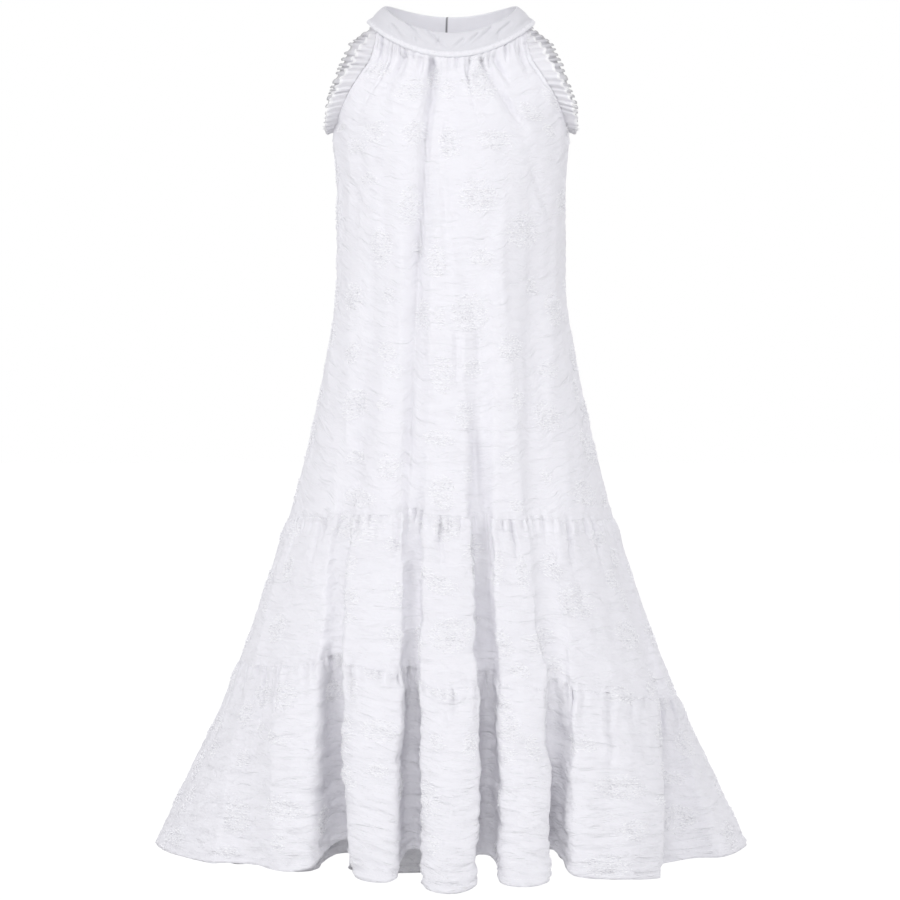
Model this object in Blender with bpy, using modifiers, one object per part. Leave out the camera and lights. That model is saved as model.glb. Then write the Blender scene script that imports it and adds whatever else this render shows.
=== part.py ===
"""A girl's sleeveless dress in its worn shape, with nobody in it.

The front faces -Y, the wearer's left is +X and +Z is up. The origin is the middle of the neck
opening, where the wearer carries the dress. Every piece of cloth is an open wall, lofted through
rings or edge curves. The tables are in millimetres, and turns are degrees round the wearer: 0 at
the front, 90 at the wearer's left side, 180 at the back. Meshes are scaled to metres at the end.
"""

import math
from collections import namedtuple

import bmesh
import bpy
import numpy as np
from mathutils import Vector

MM = 0.001
CLOTH = 1.2
FRILL_CLOTH = 1.0
BAND_CLOTH = 2.4
SEAM = 0.3
GATHERED_SEAM = 0.5

# The neckband: an ellipse that widens downwards, low in front and high at the sides.
# Its edges follow z = mean + slope * cos(turn) + saddle * cos(2 * turn).
Edge = namedtuple("Edge", "half_width half_depth mean slope saddle")
BAND_TOP = Edge(67.5, 46.0, 22.1, -13.2, -8.9)
BAND_FOOT = Edge(83.5, 58.0, 1.5, -14.0, -13.5)
BAND_STEPS = 44
BAND_BULGE = 1.6

# The back opening, which the neckband's button closes.
OPENING_X = -4.0
OPENING_WIDTH = 2.0
OPENING_LENGTH = 110.0
BUTTON_RADIUS = 4.5
SHANK_RADIUS = 1.6
SHANK_HEIGHT = 1.7
BUTTON_HEIGHT = 3.9
LOOP_WIRE = 0.45

# Where the panels leave the neckband, and the armhole edges from there down to the underarm.
PANEL_TURN = 62.0
ArmholePoint = namedtuple("ArmholePoint", "x y z")
FRONT_ARMHOLE = [
    ArmholePoint(73.7, -27.2, 2.2),
    ArmholePoint(79.0, -38.0, -22.0),
    ArmholePoint(91.0, -43.0, -41.5),
    ArmholePoint(102.5, -40.5, -60.5),
    ArmholePoint(110.5, -32.0, -77.5),
    ArmholePoint(116.0, -17.0, -89.3),
    ArmholePoint(118.5, 0.0, -93.0),
]
BACK_ARMHOLE = [
    ArmholePoint(73.7, 27.2, 15.3),
    ArmholePoint(85.0, 36.0, -7.0),
    ArmholePoint(98.0, 41.0, -32.0),
    ArmholePoint(107.5, 39.0, -55.0),
    ArmholePoint(113.0, 31.0, -75.0),
    ArmholePoint(116.8, 17.0, -88.8),
    ArmholePoint(118.5, 0.0, -93.0),
]
UNDERARM_Z = -93.0
UNDERARM_DIP = 9.0

# The dress in plan, from the underarm down: half widths, and depths in front of and behind the side seams.
Section = namedtuple("Section", "z half_width front back")
SECTIONS = [
    Section(-93, 118.5, 83, 75),
    Section(-160, 114.0, 87, 77),
    Section(-240, 114.0, 91, 83),
    Section(-320, 125.0, 98, 94),
    Section(-400, 141.5, 109, 107),
    Section(-475, 161.0, 122, 121),
    Section(-560, 189.0, 141, 140),
    Section(-642, 219.5, 164, 163),
    Section(-722, 256.0, 189, 187),
    Section(-800, 294.0, 214, 210),
    Section(-870, 325.0, 234, 228),
]

# Heights of the two tier seams and of the hem round the dress, before the folds lift them.
Level = namedtuple("Level", "turn upper_seam lower_seam hem")
LEVELS = [
    Level(-90, -480, -622, -802),
    Level(-62, -477, -622, -803),
    Level(-45, -475, -617, -805),
    Level(-30, -473, -613, -804),
    Level(-14, -471, -623, -810),
    Level(0, -473, -635, -819),
    Level(14, -476, -632, -814),
    Level(28, -478, -638, -811),
    Level(44, -479, -643, -816),
    Level(64, -480, -654, -808),
    Level(90, -480, -658, -802),
    Level(106, -480, -654, -808),
    Level(125, -479, -648, -838),
    Level(150, -477, -641, -860),
    Level(180, -475, -637, -872),
    Level(208, -476, -633, -867),
    Level(235, -478, -628, -838),
    Level(254, -479, -624, -808),
    Level(270, -480, -622, -802),
]
SEAM_LIFTS = {"upper_seam": 0.2, "lower_seam": 0.35, "hem": 1.0}
WAIST_Z = -300.0
UPPER_SEAM_Z = -475.0

# The long folds. Each valley has its middle turn, its half widths towards both sides in degrees and
# its depth at the waist, the upper seam, the lower seam and the hem, then how far it lifts the hem.
Valley = namedtuple("Valley", "turn half_before half_after depth lift")
FRONT_VALLEYS = [
    Valley((-70, -66, -60, -42), (9, 8, 6, 7), (8, 7, 6, 6), (0, 1, 4, 9), 3),
    Valley((-39, -40.5, -34.5, -23.4), (8, 3.6, 3.2, 3.6), (8, 3.6, 3.4, 4.2), (3, 5, 13, 60), 25),
    Valley((-16.6, -13.4, -10.8, -7.6), (5, 3.4, 2.6, 2.4), (5, 3.4, 2.6, 2.4), (6, 9, 20, 52), 28),
    Valley((12.9, 10.2, 9.8, 6.8), (5, 3.6, 2.8, 2.5), (5, 3.6, 2.8, 2.5), (3, 14, 30, 54), 25),
    Valley((39.5, 32.0, 28.5, 20.5), (8, 5, 2.8, 2.1), (8, 6, 3.4, 2.3), (4, 4, 9, 50), 28),
    Valley((75, 74, 71, 47), (8, 6, 4.5, 4.5), (6, 6, 7, 16), (2, 3, 13, 50), 4),
]
BACK_TURNS = (-72, -55, -38, -21.7, -6.9, 23.2, 38, 54.5, 71)
BACK_LEVEL_SPREAD = (1.07, 1.05, 1.02, 1.0)
BACK_HALF = (5.0, 4.2, 3.6, 3.6)
BACK_DEPTH = (2.0, 7.0, 17.0, 50.0)
BACK_LIFT = 29.0
MOUTH = 1.3
MOUTH_PHASE = 0.36
OVERHANG = 0.3
FOLD_COLUMNS = {"front": 78, "back": 92}

# The gathers: how many rise from the neck seam on each side, how high they stand, and how far they run.
NECK_GATHERS = 20
UPPER_GATHERS = 20
LOWER_GATHERS = 24
NECK_GATHER_HEIGHT = 2.1
TIER_GATHER_HEIGHT = 2.6
GATHER_REACH = 0.3
COLUMNS_PER_GATHER = 4

# Soft creases of the panels, seen from the front: from (x, z) to (x, z), then how far they fade in.
Crease = namedtuple("Crease", "x0 z0 x1 z1 half_width depth fade_in")
FRONT_CREASES = [
    Crease(-17, -26, -27, -128, 10, 4.4, 6),
    Crease(-22, -90, -44, -440, 15, 5.0, 70),
    Crease(4, -150, 24, -360, 16, 2.6, 60),
    Crease(-76, -200, -86, -470, 16, 3.0, 70),
    Crease(92, -180, 80, -470, 15, 3.0, 70),
    Crease(-42, -18, -62, -76, 8, 2.4, 6),
    Crease(-64, -4, -74, -52, 7, 2.0, 6),
    Crease(27, -24, 78, -112, 9, 2.6, 6),
    Crease(42, -20, 64, -66, 8, 2.2, 6),
    Crease(66, -6, 82, -56, 7, 2.0, 6),
]
BACK_CREASES = [
    Crease(22, 2, 32, -120, 9, 2.8, 6),
    Crease(48, 6, 70, -70, 8, 2.4, 6),
    Crease(-26, 2, -40, -118, 9, 2.8, 6),
    Crease(-52, 6, -72, -66, 8, 2.4, 6),
    Crease(40, -150, 56, -460, 16, 3.4, 80),
    Crease(-44, -170, -62, -460, 16, 3.4, 80),
]

# The armhole frill: a gathered strip along the whole armhole edge.
FRILL_WAVES = 28
FRILL_WIDTH = 19.0
FRILL_NARROW = 5.0
FRILL_WAVE = 2.4
FRILL_OPENING_ANGLE = 22.0
ARMHOLE_MIDDLE_Z = -42.0


def smooth_curve(places, values, at):
    """A curve without overshoot through (places, values), read at the places in `at`."""
    x = np.asarray(places, float)
    y = np.asarray(values, float)
    step = np.diff(x)
    slope = np.diff(y) / step
    tangent = np.zeros(len(x))
    same_way = slope[:-1] * slope[1:] > 0
    before = step[:-1]
    after = step[1:]
    weighted = (2 * after + before) / np.where(same_way, slope[:-1], 1)
    weighted += (after + 2 * before) / np.where(same_way, slope[1:], 1)
    tangent[1:-1] = np.where(same_way, 3 * (before + after) / weighted, 0)
    tangent[0] = slope[0]
    tangent[-1] = slope[-1]
    at = np.clip(np.asarray(at, float), x[0], x[-1])
    i = np.clip(np.searchsorted(x, at) - 1, 0, len(step) - 1)
    t = (at - x[i]) / step[i]
    rise = (1 + 2 * t) * (1 - t) ** 2 * y[i] + t * t * (3 - 2 * t) * y[i + 1]
    return rise + step[i] * (t * (1 - t) ** 2 * tangent[i] - t * t * (1 - t) * tangent[i + 1])


def section_at(z):
    """Half width, front depth and back depth of the dress at height z."""
    down = [-row.z for row in SECTIONS]
    return tuple(
        smooth_curve(down, [getattr(row, name) for row in SECTIONS], -np.asarray(z, float))
        for name in ("half_width", "front", "back")
    )


def wave_height(level, turn):
    """Height of a seam, a hem or an edge of the neckband at a turn, before the folds lift it."""
    a = np.radians(turn)
    return level.mean + level.slope * np.cos(a) + level.saddle * np.cos(2 * a)


def back_valley(index, off):
    """A fold of the back, of which the photograph shows only bits: even, with small differences."""
    size = 1 + 0.14 * math.sin(1.9 * index + 0.6)
    half = tuple(value * (0.85 + 0.0033 * abs(off)) for value in BACK_HALF)
    turn = tuple(180 + off * spread for spread in BACK_LEVEL_SPREAD)
    return Valley(turn, half, half, tuple(depth * size for depth in BACK_DEPTH), BACK_LIFT)


VALLEYS = {
    "front": FRONT_VALLEYS,
    "back": [back_valley(index, off) for index, off in enumerate(BACK_TURNS)],
}
SIDE_TURNS = {"front": (-90.0, 90.0), "back": (90.0, 270.0)}
LEVEL_PLACES = (0.0, 1.0, 2.0, 3.0)


def folds_at(side, level):
    """The valleys of one side at a level from 0, the waist, to 3, the hem.

    Returns phases with their turns along the side, then each valley's mean half width and depth.
    The phase is 0 in the middle of the first valley and grows by one to the next.
    """
    valleys = VALLEYS[side]

    def read(values):
        return float(np.interp(level, LEVEL_PLACES, values))

    start, end = SIDE_TURNS[side]
    phases = [-0.5]
    turns = [start]
    half = []
    for i, valley in enumerate(valleys):
        turn = read(valley.turn)
        before = read(valley.half_before)
        after = read(valley.half_after)
        if i:
            phases.append(i - 0.5)
            turns.append((turns[-1] + turn - MOUTH * before) / 2)
        phases += [i - MOUTH_PHASE, i - 0.25, i, i + 0.25, i + MOUTH_PHASE]
        turns += [turn - MOUTH * before, turn - before, turn, turn + after, turn + MOUTH * after]
        half.append((before + after) / 2)
    phases.append(len(valleys) - 0.5)
    turns.append(end)
    late = level if level < 2 else 2 + (level - 2) ** 0.7
    depth = [float(np.interp(late, LEVEL_PLACES, valley.depth)) for valley in valleys]
    return phases, turns, half, depth


def ring_points(side, z, turn, outward):
    """Points on the dress at height z and turn, moved out along the ring's normal."""
    half_width, front, back = section_at(z)
    half_depth = front if side == "front" else back
    a = np.radians(turn)
    x = half_width * np.sin(a)
    y = -half_depth * np.cos(a)
    normal = np.stack([np.sin(a) / half_width, -np.cos(a) / half_depth], axis=-1)
    normal /= np.linalg.norm(normal, axis=-1, keepdims=True)
    return np.stack([x + outward * normal[:, 0], y + outward * normal[:, 1], z], axis=-1)


def level_height(name, turn, lift):
    """Height of a tier seam or the hem, with the lift that the folds give it."""
    height = smooth_curve([row.turn for row in LEVELS], [getattr(row, name) for row in LEVELS], turn)
    return height + SEAM_LIFTS[name] * lift


def fold_columns(side):
    """Phases of the columns that follow the folds: spread along the hem and over the folds alike."""
    phase, run = run_along(side, 3.0, "hem")
    spread = run / run[-1] + (phase - phase[0]) / (phase[-1] - phase[0])
    return np.interp(np.linspace(0, 2, FOLD_COLUMNS[side] + 1), spread, phase)


def run_along(side, level, name):
    """Fine phases along a seam or the hem, and the length of cloth up to each."""
    phase = np.linspace(-0.5, len(VALLEYS[side]) - 0.5, 2000)
    turn, inward, lift, _ = fold_shape(side, level, phase)
    points = ring_points(side, level_height(name, turn, lift), turn, -inward)
    steps = np.linalg.norm(np.diff(points, axis=0), axis=1)
    return phase, np.concatenate([[0], np.cumsum(steps)])


def seam_columns(side, level, name, gathers):
    """Phases of the columns along a gathered seam: even steps along it, a few for each gather."""
    phase, run = run_along(side, level, name)
    return np.interp(np.linspace(0, run[-1], gathers * COLUMNS_PER_GATHER + 1), run, phase)


def fold_shape(side, level, phase):
    """Turn, inward depth, lift and sideways overhang of the cloth at each phase."""
    phases, turns, half, depth = folds_at(side, level)
    valleys = VALLEYS[side]
    index = np.clip(np.round(phase).astype(int), 0, len(valleys) - 1)
    wave = np.cos(2 * np.pi * (phase - index))
    share = (1 + wave) / 2
    inward = np.array(depth)[index] * share
    lift = np.array([v.lift for v in valleys])[index] * share
    turn = smooth_curve(phases, turns, phase)
    half_width = section_at(np.full(1, -475.0 - 170.0 * max(level - 1, 0)))[0][0]
    mouth = np.radians(np.array(half)[index]) * half_width
    steep = np.clip(np.array(depth)[index] / (3 * mouth), 0, 1)
    overhang = OVERHANG * mouth * steep * np.sin(4 * np.pi * (phase - index))
    return turn, inward, lift, overhang


def tier_row(side, top, bottom, first_level, share, phase, gather_wave):
    """One ring of a tier, at a share of the way from its seam to its lower edge."""
    turn, inward, lift, overhang = fold_shape(side, first_level + share, phase)
    upper = level_height(top, turn, lift) - GATHERED_SEAM / 2
    lower = level_height(bottom, turn, lift)
    z = upper + (lower - upper) * share
    fade = math.exp(-((share / GATHER_REACH) ** 2)) * min(0.5 + share / 0.12, 1)
    uneven = 0.8 + 0.3 * np.sin(5.3 * phase + (0 if side == "front" else 2))
    outward = TIER_GATHER_HEIGHT * fade * gather_wave * uneven - inward
    points = ring_points(side, z, turn, outward)
    a = np.radians(turn)
    points[:, :2] += np.stack([np.cos(a), np.sin(a)], axis=-1) * overhang[:, None]
    return points


def tier_rows(side, top, bottom, first_level, gathers, shares):
    """Rings of one tier, and the phases of their columns: those near the seam follow the gathers."""
    along_seam = seam_columns(side, first_level, top, gathers)
    wave = np.cos(2 * np.pi * np.arange(len(along_seam)) / COLUMNS_PER_GATHER)
    along_folds = fold_columns(side)
    rows = []
    places = []
    for share in shares:
        near_seam = share < GATHER_REACH
        phase = along_seam if near_seam else along_folds
        step = wave if near_seam else 0
        rows.append(tier_row(side, top, bottom, first_level, share, phase, step))
        places.append(phase)
    return rows, places


def crease_depth(creases, x, z):
    """How far the creases press the cloth in at points seen from the front or the back."""
    total = np.zeros_like(x)
    for crease in creases:
        way = np.array([crease.x1 - crease.x0, crease.z1 - crease.z0], float)
        length = np.linalg.norm(way)
        way /= length
        rel = np.stack([x - crease.x0, z - crease.z0], axis=-1)
        along = rel @ way
        across = rel @ np.array([-way[1], way[0]])
        near = np.clip(1 - (across / crease.half_width) ** 2, 0, 1) ** 2
        taper = np.clip(1 - np.maximum(along / length - 0.35, 0) / 0.65, 0, 1)
        taper *= np.clip(along / crease.fade_in, 0, 1)
        total += crease.depth * near * taper
    return total


def neck_point_height(turn):
    """Height of the neckband's lower edge."""
    return wave_height(BAND_FOOT, turn)


def yoke_row(side, share, columns):
    """A row of a panel between the neckband, at share 0, and the underarm, at share 1.

    `columns` run from -1 at one armhole edge to 1 at the other.
    """
    armhole = FRONT_ARMHOLE if side == "front" else BACK_ARMHOLE
    places = np.linspace(0, 1, len(armhole))
    edge = [float(smooth_curve(places, [p[k] for p in armhole], share)) for k in range(3)]
    middle_turn = 0 if side == "front" else 180
    section = SECTIONS[0]
    deepest = section.front if side == "front" else section.back
    neck_middle = float(neck_point_height(middle_turn)) - GATHERED_SEAM
    middle_depth = BAND_FOOT.half_depth + (deepest - BAND_FOOT.half_depth) * math.sin(
        share * math.pi / 2
    )
    middle_z = neck_middle + (UNDERARM_Z - UNDERARM_DIP - neck_middle) * share
    edge_turn = math.acos(min(abs(edge[1]) / middle_depth, 1))
    half_width = edge[0] / math.sin(edge_turn)
    a = columns * edge_turn
    neck_turn = np.degrees(columns * math.radians(PANEL_TURN)) + middle_turn
    neck_edge = float(neck_point_height(middle_turn + PANEL_TURN)) - GATHERED_SEAM
    rise = (neck_point_height(neck_turn) - GATHERED_SEAM - neck_middle) / (neck_edge - neck_middle)
    rise = rise * (1 - share) + np.sin(np.abs(a)) ** 2 * share
    z = middle_z + (edge[2] - middle_z) * rise
    facing = -1 if side == "front" else 1
    x = half_width * np.sin(a)
    y = facing * middle_depth * np.cos(a)
    normal = np.stack([np.sin(a) / half_width, facing * np.cos(a) / middle_depth], axis=-1)
    normal /= np.linalg.norm(normal, axis=-1, keepdims=True)
    creases = FRONT_CREASES if side == "front" else BACK_CREASES
    fade = math.exp(-((share / 0.34) ** 2)) * (0.5 + min(share / 0.08, 1) * 0.5)
    wave = np.cos(2 * np.pi * NECK_GATHERS * (columns + 1) / 2)
    uneven = 0.75 + 0.35 * np.sin(7.1 * columns + 1.3)
    edge_calm = np.clip((1 - np.abs(columns)) / 0.06, 0, 1)
    pressed = crease_depth(creases, x, z) * min(share / 0.05, 1) * edge_calm
    outward = NECK_GATHER_HEIGHT * fade * wave * uneven * edge_calm - pressed
    return np.stack([x + outward * normal[:, 0], y + outward * normal[:, 1], z], axis=-1)


def body_row(side, z_side, turn):
    """A row of a panel below the underarm, round one side of the body."""
    lean = (UNDERARM_Z - z_side) / (UNDERARM_Z - UPPER_SEAM_Z)
    level = max((WAIST_Z - z_side) / (WAIST_Z - UPPER_SEAM_Z), 0)
    reach = float(np.clip((UNDERARM_Z - z_side) / (UNDERARM_Z - WAIST_Z), 0, 1))
    phases, turns, _, _ = folds_at(side, level)
    fine = np.linspace(phases[0], phases[-1], 600)
    phase = np.interp(turn, smooth_curve(phases, turns, fine), fine)
    _, inward, lift, _ = fold_shape(side, level, phase)
    z = z_side + (level_height("upper_seam", turn, lift) - UPPER_SEAM_Z) * lean**3
    z = z - UNDERARM_DIP * np.cos(np.radians(turn)) ** 2 * (1 - reach)
    creases = FRONT_CREASES if side == "front" else BACK_CREASES
    half_width = section_at(z)[0]
    pressed = crease_depth(creases, half_width * np.sin(np.radians(turn)), z)
    return ring_points(side, z, turn, -inward * reach - pressed)


def strip(upper, lower):
    """Triangles between two rows, from the places of their columns, as (row, column) corners."""
    i = 0
    j = 0
    faces = []
    while i < len(upper) - 1 or j < len(lower) - 1:
        both = i < len(upper) - 1 and j < len(lower) - 1
        if both and abs(upper[i + 1] - lower[j + 1]) < 1e-6:
            faces += [((0, i), (1, j), (1, j + 1)), ((0, i), (1, j + 1), (0, i + 1))]
            i += 1
            j += 1
        elif j == len(lower) - 1 or (both and upper[i + 1] < lower[j + 1]):
            faces.append(((0, i), (1, j), (0, i + 1)))
            i += 1
        else:
            faces.append(((0, i), (1, j), (1, j + 1)))
            j += 1
    return faces


def inner_row(points, wall, end_normals, gathered):
    """The row's inner side, one wall further in, level with the outer side.

    Where the row is gathered, its direction is taken over a whole gather, so that the wall follows
    the gathers without folding over itself.
    """
    reach = COLUMNS_PER_GATHER // 2 if gathered else 1
    last = len(points) - 1
    at = np.arange(len(points))
    along = points[np.clip(at + reach, 0, last), :2] - points[np.clip(at - reach, 0, last), :2]
    normal = np.stack([along[:, 1], -along[:, 0]], axis=-1)
    normal /= np.linalg.norm(normal, axis=1, keepdims=True)
    for end, direction in zip((0, -1), end_normals):
        if direction is not None:
            normal[end] = direction
    inner = points.copy()
    inner[:, :2] -= wall * normal
    return inner


def open_wall(name, rows, places, end_normals, gathered):
    """A cloth wall through rows of points that run towards growing turns, from the top down.

    `end_normals` has the outward directions of each row's two ends, or None where the row's own
    direction gives it. At a seam both pieces have the same one, so their edges stay side by side.
    `gathered` tells of each row whether it has gathers.
    """
    bm = bmesh.new()
    outer = []
    inner = []
    for row, ends, full in zip(rows, end_normals, gathered):
        outer.append([bm.verts.new(p * MM) for p in row])
        inner.append([bm.verts.new(p * MM) for p in inner_row(row, CLOTH, ends, full)])
    for k in range(len(rows) - 1):
        for face in strip(places[k], places[k + 1]):
            bm.faces.new([outer[k + row][i] for row, i in face])
            bm.faces.new([inner[k + row][i] for row, i in reversed(face)])
        bm.faces.new([inner[k][0], inner[k + 1][0], outer[k + 1][0], outer[k][0]])
        bm.faces.new([outer[k][-1], outer[k + 1][-1], inner[k + 1][-1], inner[k][-1]])
    for i in range(len(rows[0]) - 1):
        bm.faces.new([outer[0][i], outer[0][i + 1], inner[0][i + 1], inner[0][i]])
    for i in range(len(rows[-1]) - 1):
        bm.faces.new([inner[-1][i], inner[-1][i + 1], outer[-1][i + 1], outer[-1][i]])
    return mesh_object(name, bm)


def mesh_object(name, bm):
    mesh = bpy.data.meshes.new(name)
    bmesh.ops.recalc_face_normals(bm, faces=bm.faces)
    bm.to_mesh(mesh)
    bm.free()
    mesh.shade_smooth()
    mesh.set_sharp_from_angle(angle=math.radians(40))
    obj = bpy.data.objects.new(name, mesh)
    DRESS.objects.link(obj)
    return obj


def cloth_material(name, colour, roughness):
    material = bpy.data.materials.new(name)
    material.use_nodes = True
    shader = material.node_tree.nodes["Principled BSDF"]
    shader.inputs["Base Color"].default_value = (*colour, 1)
    shader.inputs["Roughness"].default_value = roughness
    shader.inputs["Metallic"].default_value = 0
    return material


def shrink_ends(row):
    """Ends of a row moved off the plane of the side seams, which leaves the seam gap there."""
    row = row.copy()
    facing = np.sign(row[len(row) // 2, 1])
    row[0, 1] = facing * SEAM / 2
    row[-1, 1] = facing * SEAM / 2
    return row


def above_seam(row):
    """The last row of the piece above a seam, from the first row of the piece below it."""
    return row + np.array([0, 0, GATHERED_SEAM])


def upper_tier(side):
    return tier_rows(side, "upper_seam", "lower_seam", 1.0, UPPER_GATHERS, UPPER_SHARES)


def lower_tier(side):
    return tier_rows(side, "lower_seam", "hem", 2.0, LOWER_GATHERS, LOWER_SHARES)


YOKE_SHARES = (0.0, 0.06, 0.16, 0.3, 0.46, 0.62, 0.76, 0.89)
BODY_HEIGHTS = (-93.0, -135.0, -180.0, -230.0, -285.0, -340.0, -395.0, -442.0)
BODY_COLUMNS = 42
GATHERED_ROWS = 3
UPPER_SHARES = (0.0, 0.1, 0.35, 0.7)
LOWER_SHARES = (0.0, 0.08, 0.29, 0.52, 0.76, 1.0)


def panel_rows(side):
    """All rows of the front or of the whole back, with the place of each column from -1 to 1."""
    start, end = SIDE_TURNS[side]
    gathered = np.linspace(-1, 1, NECK_GATHERS * COLUMNS_PER_GATHER + 1)
    plain = np.linspace(-1, 1, BODY_COLUMNS + 1)
    rows = []
    places = []
    for k, share in enumerate(YOKE_SHARES):
        columns = gathered if k < GATHERED_ROWS else plain
        row = yoke_row(side, share, columns)
        rows.append(row if side == "front" else row[::-1])
        places.append(columns)
    for z_side in BODY_HEIGHTS:
        rows.append(body_row(side, z_side, (start + end) / 2 + plain * 90))
        places.append(plain)
    tier, columns = upper_tier(side)
    rows.append(above_seam(tier[0]))
    turn, _, _, _ = fold_shape(side, 1.0, columns[0])
    places.append((turn - (start + end) / 2) / 90)
    return rows, places


def side_seam_normals(side, rows, first):
    """End normals of rows from `first` on, where both ends lie on a side seam."""
    left = (1.0, 0.0)
    right = (-1.0, 0.0)
    ends = (right, left) if side == "front" else (left, right)
    return [ends if k >= first else (None, None) for k in range(len(rows))]


def make_front_panel(material):
    rows, places = panel_rows("front")
    first = len(YOKE_SHARES)
    rows = rows[:first] + [shrink_ends(row) for row in rows[first:]]
    normals = side_seam_normals("front", rows, first)
    panel = open_wall("front_panel", rows, places, normals, panel_gathers(rows))
    panel.data.materials.append(material)


def panel_gathers(rows):
    """Which rows of a panel are gathered: the first ones, and the one along the tier seam."""
    return [k < GATHERED_ROWS or k == len(rows) - 1 for k in range(len(rows))]


def half_back(rows, places, left):
    """One half of the back, cut at the opening line, which stays open below the neckband."""
    top = rows[0][:, 2].min()
    halves = []
    half_places = []
    for row, place in zip(rows, places):
        depth_below = top - row[len(row) // 2, 2]
        open_share = max(1 - depth_below / OPENING_LENGTH, 0)
        gap = SEAM / 2 + (OPENING_WIDTH - SEAM) / 2 * math.sqrt(open_share)
        cut_x = OPENING_X + (gap if left else -gap)
        keep = row[:, 0] > cut_x + 0.8 if left else row[:, 0] < cut_x - 0.8
        order = np.argsort(row[:, 0])
        cut = [np.interp(cut_x, row[order, 0], row[order, k]) for k in range(3)]
        cut_place = np.interp(cut_x, row[order, 0], place[order])
        kept = row[keep]
        kept_places = place[keep]
        if left:
            halves.append(np.vstack([kept, [cut]]))
            half_places.append(np.append(kept_places, cut_place))
        else:
            halves.append(np.vstack([[cut], kept]))
            half_places.append(np.insert(kept_places, 0, cut_place))
    return halves, half_places


def make_back_panels(material):
    rows, places = panel_rows("back")
    first = len(YOKE_SHARES)
    rows = rows[:first] + [shrink_ends(row) for row in rows[first:]]
    normals = side_seam_normals("back", rows, first)
    middle = (0.0, 1.0)
    for name, left in (("back_panel_left", True), ("back_panel_right", False)):
        half_rows, half_places = half_back(rows, places, left)
        ends = [(one, middle) if left else (middle, two) for one, two in normals]
        panel = open_wall(name, half_rows, half_places, ends, panel_gathers(rows))
        panel.data.materials.append(material)


def make_tiers(material):
    """The middle tier and the hem tier, front and back."""
    for side in ("front", "back"):
        hem_rows, hem_places = lower_tier(side)
        rows, places = upper_tier(side)
        rows.append(above_seam(hem_rows[0]))
        places.append(hem_places[0])
        gathered = [share < GATHER_REACH for share in UPPER_SHARES] + [True]
        make_tier("middle_tier_" + side, side, rows, places, gathered, material)
        gathered = [share < GATHER_REACH for share in LOWER_SHARES]
        make_tier("hem_tier_" + side, side, hem_rows, hem_places, gathered, material)


def make_tier(name, side, rows, places, gathered, material):
    rings = [shrink_ends(row) for row in rows]
    normals = side_seam_normals(side, rings, 0)
    open_wall(name, rings, places, normals, gathered).data.materials.append(material)


def ellipse_point(edge, turn):
    a = math.radians(turn)
    height = float(wave_height(edge, turn))
    return np.array([edge.half_width * math.sin(a), -edge.half_depth * math.cos(a), height])


def band_section(turn):
    """The closed outline across the neckband at a turn: a folded strip whose lower edge is level."""
    foot = ellipse_point(BAND_FOOT, turn)
    top = ellipse_point(BAND_TOP, turn)
    a = math.radians(turn)
    out = np.array([math.sin(a) / BAND_FOOT.half_width, -math.cos(a) / BAND_FOOT.half_depth, 0])
    out /= np.linalg.norm(out)
    lean = abs(np.dot(foot - top, out)) / (top[2] - foot[2])
    wall = BAND_CLOTH * math.hypot(1, lean)
    outline = [
        (0.0, -0.3),
        (0.04, BAND_BULGE * 0.3),
        (0.3, BAND_BULGE),
        (0.65, BAND_BULGE * 0.7),
        (0.96, 0.0),
        (1.0, -wall / 2),
        (0.95, -wall),
        (0.0, 0.3 - wall),
    ]
    return [foot + (top - foot) * rise + out * across for rise, across in outline]


def make_neckband(material):
    """One folded strip round the neck, with its ends at the back opening."""
    ease = math.degrees(math.asin(OPENING_WIDTH / 2 / BAND_FOOT.half_width))
    back = 180 - math.degrees(math.asin(OPENING_X / BAND_FOOT.half_width))
    bm = bmesh.new()
    loops = []
    for turn in np.linspace(back - 360 + ease, back - ease, BAND_STEPS + 1):
        loops.append([bm.verts.new(p * MM) for p in band_section(turn)])
    for one, two in zip(loops, loops[1:]):
        for k in range(len(one)):
            n = (k + 1) % len(one)
            bm.faces.new([one[k], one[n], two[n], two[k]])
    bm.faces.new(loops[0][::-1])
    bm.faces.new(loops[-1])
    mesh_object("neckband", bm).data.materials.append(material)


def armhole_loop(count):
    """Points along the wearer's left armhole, from the neckband in front to the neckband behind."""
    line = np.array(FRONT_ARMHOLE + BACK_ARMHOLE[-2::-1], float)
    places = np.linspace(0, 1, len(line))
    fine = np.linspace(0, 1, 400)
    path = np.stack([smooth_curve(places, line[:, k], fine) for k in range(3)], axis=-1)
    run = np.concatenate([[0], np.cumsum(np.linalg.norm(np.diff(path, axis=0), axis=1))])
    at = np.linspace(3.0, run[-1] - 3.0, count)
    points = np.stack([np.interp(at, run, path[:, k]) for k in range(3)], axis=-1)
    return points, at, run[-1]


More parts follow.
